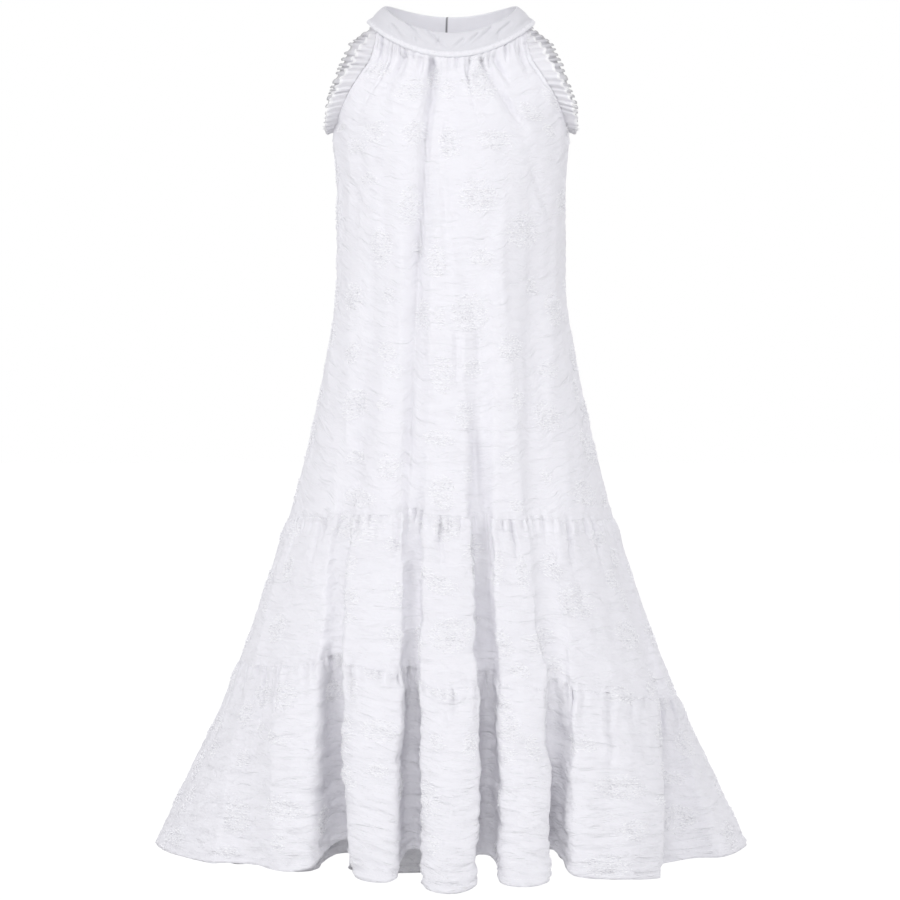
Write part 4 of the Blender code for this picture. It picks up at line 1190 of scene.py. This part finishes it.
def make_panel(name, node, side, cut, seed):
    """A panel from the neckband to the first tier, with its gathers, soft folds and tufts."""
    grid, columns, phase = panel_grid(side, cut)
    below = np.stack([run_of(grid[:, k]) for k in range(grid.shape[1])], axis=1)
    neck_half = run_of(yoke_row(side, 0.0, np.linspace(-1, 1, 200)))[-1] / 2
    neck_place = (columns + 1) * neck_half
    gathers = uneven_gathers(2 * neck_half, NECK_PITCH, 4.0, seed)
    to_cut = np.minimum(columns - columns[:, :1], columns[:, -1:] - columns)
    calm = ramp(to_cut, 0.05)
    starts = 0.45 + 0.55 * ramp(below, 4.0)
    inward = gather_depth(gathers, neck_place, below) * starts * calm
    inward -= 1.1 * bell(below, 26.0) * starts * calm
    to_seam = below[-1][None] - below
    inward += seam_wave(side, "upper_seam", phase)[None] * bell(to_seam, SEAM_PULL)
    along = np.stack([run_of(row) for row in grid])
    per_column = (along[:, -1] / (columns[:, -1] - columns[:, 0]))[:, None]
    along = along - along[:, -1:] / 2
    edges = ramp(np.minimum(below, to_seam), SEAM_CALM) * calm
    inward += edges * 1.7 * soft_noise(along / 19.0, below / 120.0, seed + 1)
    inward += edges * 0.8 * soft_noise(along / 9.0, below / 55.0, seed + 2)
    lower = below / below[-1]
    outer = columns**2
    inward -= edges * (0.48 + 0.4 * lower + 0.4 * outer) * crinkles(along, below, seed + 6)
    sewn = ramp(np.arange(len(grid)) - YOKE_ROWS, 6.0)[:, None] * ramp(to_seam, SEAM_CALM)
    inward += sewn * side_seam(to_cut * per_column, below, seed + 7)
    # The armhole edge is turned in and stitched down.
    from_edge = (1 - np.abs(columns)) * per_column
    yoke = ramp(YOKE_ROWS - np.arange(len(grid)), 4.0)[:, None]
    inward += yoke * 0.5 * bell(from_edge - ARMHOLE_FOLD, 1.0)
    inward -= yoke * 0.25 * ramp(ARMHOLE_FOLD - from_edge, 1.5)
    grid = grid - outward_normals(grid) * inward[..., None]
    grid[..., 2] += seam_drift(side, "upper_seam", phase)[None] * bell(to_seam, DRIFT_REACH)
    flat = np.stack([along, -below], axis=-1)
    tufted, threads = tufts_on(name, grid, side, seed)
    for edge, side_name in ((-1, "start"), (1, "end")):
        if abs(columns[0, 0 if edge < 0 else -1]) < 0.99:
            continue
        rows_at = np.linspace(0.5, YOKE_ROWS - 3.0, 90)
        nearest = np.round(rows_at).astype(int)
        fold_at = edge * (1 - ARMHOLE_FOLD / per_column[nearest, 0])
        index = np.arange(columns.shape[1])
        columns_at = [np.interp(c, columns[r], index) for c, r in zip(fold_at, nearest)]
        stitch_name = name + "_armhole_stitches_" + side_name
        threads.append(stitch_line(stitch_name, grid, rows_at, np.array(columns_at)))
    shell, flat = add_allowance(grid, flat, True)
    more_rows = ((TURNED_ROWS, TURNED_ROWS), (0, 0))
    tufted = np.pad(tufted, more_rows, mode="edge")
    crinkled = np.pad(0.8 + 0.3 * lower + 0.45 * outer, more_rows, mode="edge")
    piece = cloth_piece(
        name, node, shell, flat, tufted, crinkled, THICKNESS, cut_thread_cloth
    )


def whole_width(row_of):
    """Columns of the front, which has no cut down its middle."""
    return np.linspace(-1, 1, PANEL_COLUMNS + 1)


make_panel("front_panel_cloth", "front_panel", "front", whole_width, 101)


# The back panels
# Two halves of the same cloth, gathered into the neckband and sewn together down the middle, below
# an opening that the neckband's button closes. The button side is the wearer's left half.
OPENING_X = -4.0
OPENING_WIDTH = 2.0
OPENING_LENGTH = 110.0
HALF_COLUMNS = 88


def half_cut(left):
    """Columns of one half of the back, from the opening line to the side."""
    top = float(edge_height(BAND_FOOT, 180.0))
    fine = np.linspace(-1, 1, 241)

    def cut(row_of):
        row = row_of(fine)
        depth_below = top - row[120, 2]
        open_share = max(1 - depth_below / OPENING_LENGTH, 0)
        gap = SEAM_GAP / 2 + (OPENING_WIDTH - SEAM_GAP) / 2 * math.sqrt(open_share)
        cut_x = OPENING_X + (gap if left else -gap)
        middle = float(np.interp(-cut_x, -row[:, 0], fine))
        if left:
            return np.linspace(-1, middle, HALF_COLUMNS + 1)
        return np.linspace(middle, 1, HALF_COLUMNS + 1)

    return cut


make_panel("back_panel_left_cloth", "back_panel_left", "back", half_cut(True), 131)
make_panel("back_panel_right_cloth", "back_panel_right", "back", half_cut(False), 151)


# The middle tier and the hem tier
# Lengths of the same cloth, front and back, cut wider below and gathered along their upper edges
# into the piece above. The lowest ends in a narrow stitched hem, and falls in deep flutes.
HEM_FOLD = 7.0
TierForm = namedtuple("TierForm", "top bottom level rows columns")
TIER_FORMS = {
    "middle_tier": TierForm("upper_seam", "lower_seam", 1.0, 56, 290),
    "hem_tier": TierForm("lower_seam", "hem", 2.0, 76, 430),
}


def tier_columns(side, level, top, bottom, count):
    """Phases of a tier's columns: spread along its lower edge and over the folds alike."""
    phase = fine_phases(side)
    run = run_of(fold_row(side, top, bottom, level, 1.0, phase))
    spread = 2 * run / run[-1] + (phase - phase[0]) / (phase[-1] - phase[0])
    return np.interp(np.linspace(0, 3, count + 1), spread, phase)


def make_tier(kind, side, seed):
    """One half of a tier, with its gathers, flutes, crinkles and tufts."""
    top, bottom, level, row_count, column_count = TIER_FORMS[kind]
    phase = tier_columns(side, level, top, bottom, column_count)
    shares = np.linspace(0, 1, row_count + 1)
    grid = np.array([fold_row(side, top, bottom, level, share, phase) for share in shares])
    grid[:, :, 2] -= (SEAM_GAP / 2) * (1 - shares)[:, None]
    gathers, fine, run = gathers_of(side, top)
    seam_place = np.interp(phase, fine, run)[None]
    below = np.stack([run_of(grid[:, k]) for k in range(grid.shape[1])], axis=1)
    to_edge = below[-1][None] - below
    starts = 0.4 + 0.6 * ramp(below, 5.0)
    inward = gather_depth(gathers, seam_place, below) * starts
    inward -= 1.7 * bell(below, 24.0) * ramp(below, 5.0)
    if bottom != "hem":
        inward += seam_wave(side, bottom, phase)[None] * bell(to_edge, SEAM_PULL)
    lower_run = run_of(grid[-1])
    along = np.repeat(lower_run[None] - lower_run[-1] / 2, len(grid), axis=0)
    edges = ramp(below, SEAM_CALM)
    if bottom != "hem":
        edges = np.minimum(edges, ramp(to_edge, SEAM_CALM))
    from_side = np.minimum(lower_run, lower_run[-1] - lower_run)[None]
    sides = ramp(from_side, 10.0)
    inward += edges * sides * 1.5 * soft_noise(along / 24.0, below / 60.0, seed + 1)
    inward += edges * sides * 0.8 * soft_noise(along / 12.0, below / 16.0, seed + 2)
    inward += edges * side_seam(from_side, below, seed + 10)
    lower = below / below[-1]
    crumple = 0.8 + 1.1 * lower**1.2 if bottom == "hem" else 0.8 + 0.1 * lower
    inward -= edges * sides * crumple * crinkles(along, below, seed + 6)
    if bottom == "hem":
        inward += 0.8 * bell(to_edge - HEM_FOLD, 1.6)
        inward -= 0.3 * ramp(HEM_FOLD - to_edge, 1.5)
    grid = grid - outward_normals(grid) * inward[..., None]
    turn = np.radians(fold_shape(side, level, phase)[0])
    around = np.stack([np.cos(turn), np.sin(turn)], axis=-1)[None]
    sway = 2.2 * soft_noise(np.repeat(phase[None] * 1.6, len(grid), axis=0), below / 26.0, seed + 7)
    sway += 1.2 * soft_noise(np.repeat(phase[None] * 2.9, len(grid), axis=0), below / 7.5, seed + 8)
    grid[..., :2] += around * (sway * edges * sides)[..., None]
    grid[..., 2] += seam_drift(side, top, phase)[None] * bell(below, DRIFT_REACH)
    if bottom != "hem":
        grid[..., 2] += seam_drift(side, bottom, phase)[None] * bell(to_edge, DRIFT_REACH)
    facing = -1 if side == "front" else 1
    grid[:, 0, 1] = facing * SEAM_GAP / 2
    grid[:, -1, 1] = facing * SEAM_GAP / 2
    flat = np.stack([along, -below], axis=-1)
    name = kind + "_" + side
    tufted, threads = tufts_on(name, grid, side, seed)
    threads.append(seam_frays(name + "_seam_frays", grid, 0, seed + 9))
    if bottom == "hem":
        columns_at = np.arange(2.0, grid.shape[1] - 2.0)
        rows_at = len(grid) - 1 - HEM_FOLD / to_edge[-2, 2:-2]
        threads.append(stitch_line(name + "_stitches", grid, rows_at, columns_at))
    shell, flat = add_allowance(grid, flat, bottom != "hem")
    more_rows = ((TURNED_ROWS, 0 if bottom == "hem" else TURNED_ROWS), (0, 0))
    tufted = np.pad(tufted, more_rows, mode="edge")
    crinkled = 1.25 + 0.6 * lower if bottom == "hem" else 1.1 + 0.15 * lower
    crinkled = np.pad(crinkled, more_rows, mode="edge")
    piece = cloth_piece(
        name + "_cloth", name, shell, flat, tufted, crinkled, THICKNESS, cut_thread_cloth
    )


for tier_side, tier_seed in (("front", 201), ("back", 231)):
    make_tier("middle_tier", tier_side, tier_seed)
    make_tier("hem_tier", tier_side, tier_seed + 60)


# The neckband
# A strip of plain white cotton folded over the gathered edge, with a soft rolled lower edge where
# the gathers fill it. It stands up round the neck and is drawn a little askew in front.
BAND_COLUMNS = 380
# The band's ground colour is the frills' plain cotton painted darker, as painted shade over the band.
BAND_GROUND_PAINTED_SHADE = (0.75, 0.745, 0.785)
BAND_LIGHT = (0.86, 0.855, 0.895)
BAND_SLIT = 0.9
BAND_PROFILE = [
    (0.0, -0.7),
    (0.015, 0.4),
    (0.06, 1.6),
    (0.13, 2.2),
    (0.21, 2.0),
    (0.29, 0.8),
    (0.35, 0.45),
    (0.45, 0.9),
    (0.6, 1.3),
    (0.78, 1.15),
    (0.9, 0.7),
    (0.97, 0.05),
    (1.0, -0.75),
]
BAND_INSIDE = [(0.995, -1.5), (0.95, -2.3), (0.7, -2.4), (0.4, -2.4), (0.12, -2.4), (0.02, -2.2), (0.0, -1.5)]
BAND_CREASES = [
    Crease(-47, 17, -20, -11, 2.4, 2.6, 3),
    Crease(-26, 8, 1, -14, 2.4, 2.9, 3),
    Crease(-61, 15, -44, -6, 2.4, 2.3, 3),
    Crease(43, 12, 16, -11, 2.6, 2.6, 3),
    Crease(62, 17, 40, -1, 2.6, 2.3, 3),
    Crease(14, 0, -3, -14, 2.2, 2.2, 2),
    Crease(-11, 2, -18, -13, 2.2, 1.8, 2),
    Crease(30, 6, 8, -12, 2.2, 2.2, 3),
    Crease(-38, 5, -35, -9, 2.2, 1.7, 2),
    Crease(50, 9, 46, -4, 2.2, 1.7, 2),
]


def ellipse_point(edge, turn):
    """A point on an edge of the neckband at a turn."""
    a = math.radians(turn)
    height = float(edge_height(edge, turn))
    return np.array([edge.half_width * math.sin(a), -edge.half_depth * math.cos(a), height])


def band_frame(turn):
    """Foot, way up and way out of the neckband at a turn."""
    foot = ellipse_point(BAND_FOOT, turn)
    top = ellipse_point(BAND_TOP, turn)
    a = math.radians(turn)
    out = unit(np.array([math.sin(a) / BAND_FOOT.half_width, -math.cos(a) / BAND_FOOT.half_depth, 0]))
    return foot, top - foot, out


def tube_faces(rings, sides, first=0):
    """Faces of a tube through closed rings of points, with both its ends closed."""
    faces = []
    for low in range(first, first + (rings - 1) * sides, sides):
        for k in range(sides):
            n = (k + 1) % sides
            faces.append((low + k, low + n, low + sides + n, low + sides + k))
    last = first + (rings - 1) * sides
    faces.append(tuple(range(first, first + sides))[::-1])
    faces.append(tuple(range(last, last + sides)))
    return faces


def band_outline(count):
    """The closed outline across the neckband, with points close together."""
    corners = np.array(BAND_PROFILE + BAND_INSIDE + BAND_PROFILE[:1])
    places = run_of(corners * np.array([22.0, 1.0]))
    at = np.linspace(0, places[-1], count, endpoint=False)
    return np.stack([smooth_curve(places, corners[:, k], at) for k in range(2)], axis=-1)


band_ease = math.degrees(math.asin(BAND_SLIT / 2 / BAND_FOOT.half_width))
band_back = 180 - math.degrees(math.asin(OPENING_X / BAND_FOOT.half_width))
band_turns = np.linspace(band_back - 360 + band_ease, band_back - band_ease, BAND_COLUMNS + 1)
outline = band_outline(44)
band_points = []
for turn in band_turns:
    foot, up, out = band_frame(turn)
    lean = abs(np.dot(up, out)) / up[2]
    scale = math.hypot(1, lean)
    band_points.append(
        [foot + up * rise + out * across * (scale if across < -0.8 else 1) for rise, across in outline]
    )
band_points = np.array(band_points)
outer_face = outline[None, :, 1] > -0.5
front_face = outer_face & (band_points[..., 1] < 10)
pressed = crease_depth(BAND_CREASES, *seen_place(band_points))
band_around = np.radians(band_turns)[:, None] * 70.0
uneven = 0.5 * soft_noise(band_around / 12.0 + 40, outline[None, :, 0] * 3.0, 71)
puffed = ramp(0.32 - outline[None, :, 0], 0.08)
uneven = uneven + 0.5 * puffed * soft_noise(band_around / 4.2 + 40, outline[None, :, 0] * 1.5, 72)
out_ways = np.array([band_frame(turn)[2] for turn in band_turns])[:, None]
band_points -= out_ways * (np.where(front_face, pressed, 0) + uneven * outer_face)[..., None]
# The two ends meet at a slant, so that one covers the other.
from_slit = np.minimum(band_around - band_around[0], band_around[-1] - band_around)
slant = (outline[None, :, 1] + 1.1) / 1.4 * bell(from_slit, 5.0)
band_points[..., 0] += 1.2 * slant

band_mesh = bpy.data.meshes.new("neckband_cloth")
count = len(outline)
band_faces = tube_faces(BAND_COLUMNS + 1, count)
band_mesh.from_pydata((band_points.reshape(-1, 3) * MM).tolist(), [], band_faces)
band_uv = band_mesh.uv_layers.new(name="flat_cloth")
around = np.repeat(band_around, count, axis=1)
across = np.repeat((np.arange(count) / count * 56.0)[None], BAND_COLUMNS + 1, axis=0)
band_flat = np.stack([around, across], axis=-1).reshape(-1, 2) * MM
for loop in band_mesh.loops:
    band_uv.data[loop.index].uv = band_flat[loop.vertex_index]
bpy.ops.object.select_all(action="DESELECT")
neckband = bpy.data.objects.new("neckband_cloth", band_mesh)
bpy.context.scene.collection.objects.link(neckband)
band_mesh.shade_smooth()
band_mesh.set_sharp_from_angle(angle=math.radians(70))
plain_cloth = cloth_finish("plain_cloth", BAND_GROUND_PAINTED_SHADE, BAND_LIGHT, BAND_LIGHT, 0.6, 0.16)
mark_points(band_mesh, "crinkled", np.ones(len(band_mesh.vertices)))
# The rolled lower edge of the outer face gets the band's lighter colour. The whole inner wall gets it too, as
# painted light where the inside of the neck lies in shade.
lighter_roll_and_painted_inside = 0.6 * ramp(0.27 - outline[:, 0], 0.06) * outer_face[0]
lighter_roll_and_painted_inside = np.maximum(lighter_roll_and_painted_inside, ramp(-1.2 - outline[:, 1], 0.6))
mark_points(band_mesh, "tufted", np.repeat(lighter_roll_and_painted_inside[None], BAND_COLUMNS + 1, axis=0))
# Painted shade on the two end rings of the band, so that the slit between its ends reads dark.
slit_painted_shade = np.zeros((BAND_COLUMNS + 1, len(outline)))
slit_painted_shade[[0, -1]] = 0.85
mark_points(band_mesh, "painted_shade", slit_painted_shade)
band_mesh.materials.append(plain_cloth)
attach(neckband, "root")
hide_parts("neckband")


# The armhole frills
# A narrow strip of the plain cotton along each armhole, gathered tight at its sewn edge, so that
# its free edge waves. It is widest over the shoulder and narrow under the arm.
FRILL_WAVES = 50
FRILL_ROWS = 7
FRILL_COLUMNS = 620
FRILL_WIDTH = 19.0
FRILL_NARROW = 5.0
FRILL_WAVE = 1.9
FRILL_STEP_BACK = 2.2
FRILL_OPENING_ANGLE = 22.0
FRILL_SHADE = 0.5
ARMHOLE_MIDDLE_Z = -42.0

FRILL_GROUND = (0.84, 0.832, 0.865)
FRILL_EDGE = (0.95, 0.945, 0.96)
frill_cloth = cloth_finish("frill_cloth", FRILL_GROUND, FRILL_EDGE, FRILL_EDGE, 0.3, 0.14)


def points_at(path, run, at):
    """Points of a path at these lengths along it."""
    return np.stack([np.interp(at, run, path[:, k]) for k in range(3)], axis=-1)


def armhole_loop(count):
    """Points along the wearer's left armhole, from the neckband in front to the neckband behind."""
    line = np.array(FRONT_ARMHOLE + BACK_ARMHOLE[-2::-1], float)
    places = np.linspace(0, 1, len(line))
    fine = np.linspace(0, 1, 400)
    path = np.stack([smooth_curve(places, line[:, k], fine) for k in range(3)], axis=-1)
    run = run_of(path)
    at = np.linspace(3.0, run[-1] - 3.0, count)
    return points_at(path, run, at), at, run[-1]


def make_frill(name, node, mirrored, seed):
    """A gathered strip that stands out from the armhole edge, widest at the shoulder."""
    count = FRILL_COLUMNS + 1
    root, at, length = armhole_loop(count)
    along = unit(np.gradient(root, axis=0))
    away = unit(np.stack([np.zeros(count), root[:, 1], root[:, 2] - ARMHOLE_MIDDLE_Z], axis=-1))
    height = np.clip(np.abs(at / length - 0.5) * 2 / 0.4, 0, 1)
    lean = (np.radians(FRILL_OPENING_ANGLE) * height)[:, None]
    out = np.cos(lean) * np.array([1.0, 0, 0]) + np.sin(lean) * away
    across = unit(np.cross(along, out))
    from_end = np.minimum(at, length - at)
    width = FRILL_NARROW + (FRILL_WIDTH - FRILL_NARROW) * height
    width = width - FRILL_STEP_BACK * height * ramp(-root[:, 1], 20.0)
    width = width * np.clip(0.2 + 0.8 * from_end / 24.0, 0, 1)
    in_front = np.clip(0.5 - root[:, 1] / 24.0, 0, 1)
    turn = run_of(root) / length * FRILL_WAVES
    turn = np.cumsum(np.gradient(turn) * (1 - 0.3 * in_front))
    turn = turn + 0.7 * soft_noise(turn / 1.9, np.zeros(count), seed)
    size = (0.9 + 0.6 * soft_noise(turn / 1.4, np.ones(count), seed + 1)) * (1 - 0.25 * in_front)
    wave = np.cos(2 * np.pi * turn)
    second = np.cos(4 * np.pi * turn + 1.0)
    tooth = 1 - 4 * np.abs(turn % 1 - 0.5)
    tooth = tooth * (1 + 0.9 * soft_noise(turn / 1.3, np.full(count, 5.0), seed + 2))
    tucked = unit(-root * np.array([1.0, 1.0, 0.0]))
    rows = []
    shares = np.linspace(0, 1, FRILL_ROWS + 1)
    for share in shares:
        swing = 0.3 + 0.7 * share**0.8
        reach = 0.2 + width * share + share**2 * (0.5 * second + 1.0 * tooth)
        swing_by = FRILL_WAVE * swing * size * wave + 0.35 * swing * second
        sag = -0.8 * share**2
        row = root + out * reach[:, None] + across * swing_by[:, None]
        row += tucked * (1.1 * (1 - share) ** 2)
        row += along * (1.1 * share**1.5 * size * np.sin(4 * np.pi * turn))[:, None]
        row[:, 2] += sag
        rows.append(row)
    grid = np.array(rows)
    if mirrored:
        grid[..., 0] *= -1
        grid = grid[:, ::-1]
    run = run_of(grid[-1])
    flat_along = np.repeat(run[None], len(grid), axis=0)
    flat_down = np.repeat(-shares[:, None] * 17, count, axis=1)
    flat = np.stack([flat_along, flat_down], axis=-1)
    edge_threads = np.zeros(grid.shape[:2])
    edge_threads[-1] = 1.0
    edge_threads[-2] = 0.5
    crinkled = np.ones(grid.shape[:2])
    piece = cloth_piece(
        name, node, grid, flat, edge_threads, crinkled, 0.5, frill_cloth
    )
    # Painted shade on the outer rows of each frill's back half, strongest at its free edge, for the shade
    # among its folds.
    behind = 1 - in_front[::-1] if mirrored else 1 - in_front
    shade = FRILL_SHADE * shares[:, None] ** 4 * behind[None] * np.ones(grid.shape[:2])
    layers = len(piece.data.vertices) // shade.size
    mark_points(piece.data, "painted_shade", np.tile(shade.reshape(-1), layers))


make_frill("armhole_frill_left_cloth", "armhole_frill_left", False, 301)
make_frill("armhole_frill_right_cloth", "armhole_frill_right", True, 321)


# The button and its loop
# A small domed button on a shank at the back of the neckband, and a loop of sewing thread from
# the other end of the band that goes round the shank.
BUTTON_TURN_X = 7.0
BUTTON_PROFILE = [
    (0.0, 3.55),
    (1.2, 3.5),
    (2.0, 3.62),
    (2.9, 3.72),
    (3.7, 3.45),
    (4.25, 3.0),
    (4.48, 2.6),
    (4.3, 2.1),
    (3.7, 1.75),
    (1.6, 1.7),
    (1.5, 1.2),
    (1.55, 0.4),
    (1.6, 0.05),
    (0.0, 0.05),
]
BUTTON_SIDES = 48
SHANK_HEIGHT = 1.7
SHANK_RADIUS = 1.6
LOOP_WIRE = 0.45
LOOP_STRAND = 0.24
LOOP_TWIST = 2.6
STRAND_SIDES = 6


def back_band_frame(x):
    """Middle of the outer face of the neckband behind, its way up and its way out, at this x."""
    turn = 180 - math.degrees(math.asin(x / BAND_FOOT.half_width))
    foot, up, out = band_frame(turn)
    low = foot + up * 0.3 + out * 1.6
    high = foot + up * 0.65 + out * 1.12
    rise = unit(high - low)
    return (low + high) / 2, rise, unit(np.cross((-1.0, 0.0, 0.0), rise))


def gloss_plastic():
    """White plastic with a soft gloss and faint clouding."""
    material = bpy.data.materials.new("gloss_plastic")
    material.use_nodes = True
    tree = material.node_tree
    shader = tree.nodes["Principled BSDF"]
    shader.inputs["Coat Weight"].default_value = 0.25
    shader.inputs["Coat Roughness"].default_value = 0.12
    place = add_node(tree, "ShaderNodeTexCoord").outputs["Object"]
    noise = add_node(tree, "ShaderNodeTexNoise", Vector=place, Scale=620.0, Detail=3.0, Roughness=0.5)
    clouds = noise.outputs["Fac"]
    colour = mixed(tree, clouds, (0.8, 0.79, 0.78, 1.0), (0.89, 0.885, 0.88, 1.0))
    tree.links.new(colour, shader.inputs["Base Color"])
    gloss = add_node(tree, "ShaderNodeMapRange", clouds, To_Min=0.2, To_Max=0.34)
    tree.links.new(gloss.outputs["Result"], shader.inputs["Roughness"])
    return material


button_middle, button_rise, button_out = back_band_frame(BUTTON_TURN_X)
button_base = button_middle + button_out * (SEAM_GAP + 0.15)
button_side = np.cross(button_rise, button_out)
button_points = []
for radius, height in BUTTON_PROFILE:
    for k in range(BUTTON_SIDES):
        a = 2 * math.pi * k / BUTTON_SIDES
        spoke = button_rise * math.cos(a) + button_side * math.sin(a)
        button_points.append((button_base + spoke * max(radius, 0.01) + button_out * height) * MM)
button_faces = tube_faces(len(BUTTON_PROFILE), BUTTON_SIDES)
button_mesh = bpy.data.meshes.new("back_button_turned")
button_mesh.from_pydata([tuple(p) for p in button_points], [], button_faces)
button_mesh.materials.append(gloss_plastic())
button = bpy.data.objects.new("back_button_turned", button_mesh)
bpy.context.scene.collection.objects.link(button)
bpy.ops.object.select_all(action="DESELECT")
bpy.context.view_layer.objects.active = button
button.select_set(True)
bpy.ops.object.mode_set(mode="EDIT")
bpy.ops.mesh.select_all(action="SELECT")
bpy.ops.mesh.normals_make_consistent(inside=False)
bpy.ops.object.mode_set(mode="OBJECT")
bpy.ops.object.shade_smooth()
button_mesh.set_sharp_from_angle(angle=math.radians(50))
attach(button, "root")
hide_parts("back_button")


def twisted_loop():
    """Middle lines of the loop's two strands of thread, twisted round each other."""
    reach = SHANK_RADIUS + SEAM_GAP + LOOP_WIRE
    turns = np.radians(np.linspace(90, -90, 25))
    path = [(x, reach) for x in np.linspace(-11.0, -0.6, 16)]
    path += [(reach * math.cos(a), reach * math.sin(a)) for a in turns]
    path += [(x, -reach) for x in np.linspace(-0.6, -11.0, 16)]
    path = np.array(path)
    centre = button_base + button_out * (SHANK_HEIGHT / 2)
    middle = centre + path[:, :1] * np.array([[1.0, 0.0, 0.0]]) + path[:, 1:] * button_rise
    run = run_of(middle)
    at = np.linspace(0, run[-1], int(run[-1] / 0.3))
    middle = points_at(middle, run, at)
    across = np.cross(unit(np.gradient(middle, axis=0)), button_out)
    strands = []
    for start in (0.0, math.pi):
        a = start + 2 * math.pi * at / LOOP_TWIST
        offset = across * np.cos(a)[:, None] + button_out * np.sin(a)[:, None]
        strands.append(middle + offset * (LOOP_WIRE - LOOP_STRAND))
    return strands


loop_points = []
loop_faces = []
for strand in twisted_loop():
    way = unit(np.gradient(strand, axis=0))
    first = np.cross(way, button_out)
    second = np.cross(first, way)
    loop_faces += tube_faces(len(strand), STRAND_SIDES, len(loop_points))
    for k, place in enumerate(strand):
        for side in range(STRAND_SIDES):
            a = 2 * math.pi * side / STRAND_SIDES
            offset = first[k] * math.cos(a) + second[k] * math.sin(a)
            loop_points.append(tuple((place + offset * LOOP_STRAND) * MM))
loop_mesh = bpy.data.meshes.new("button_loop_twisted")
loop_mesh.from_pydata(loop_points, [], loop_faces)
loop_mesh.materials.append(thread_white)
loop_mesh.shade_smooth()
button_loop = bpy.data.objects.new("button_loop_twisted", loop_mesh)
bpy.context.scene.collection.objects.link(button_loop)
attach(button_loop, "root")
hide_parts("button_loop")
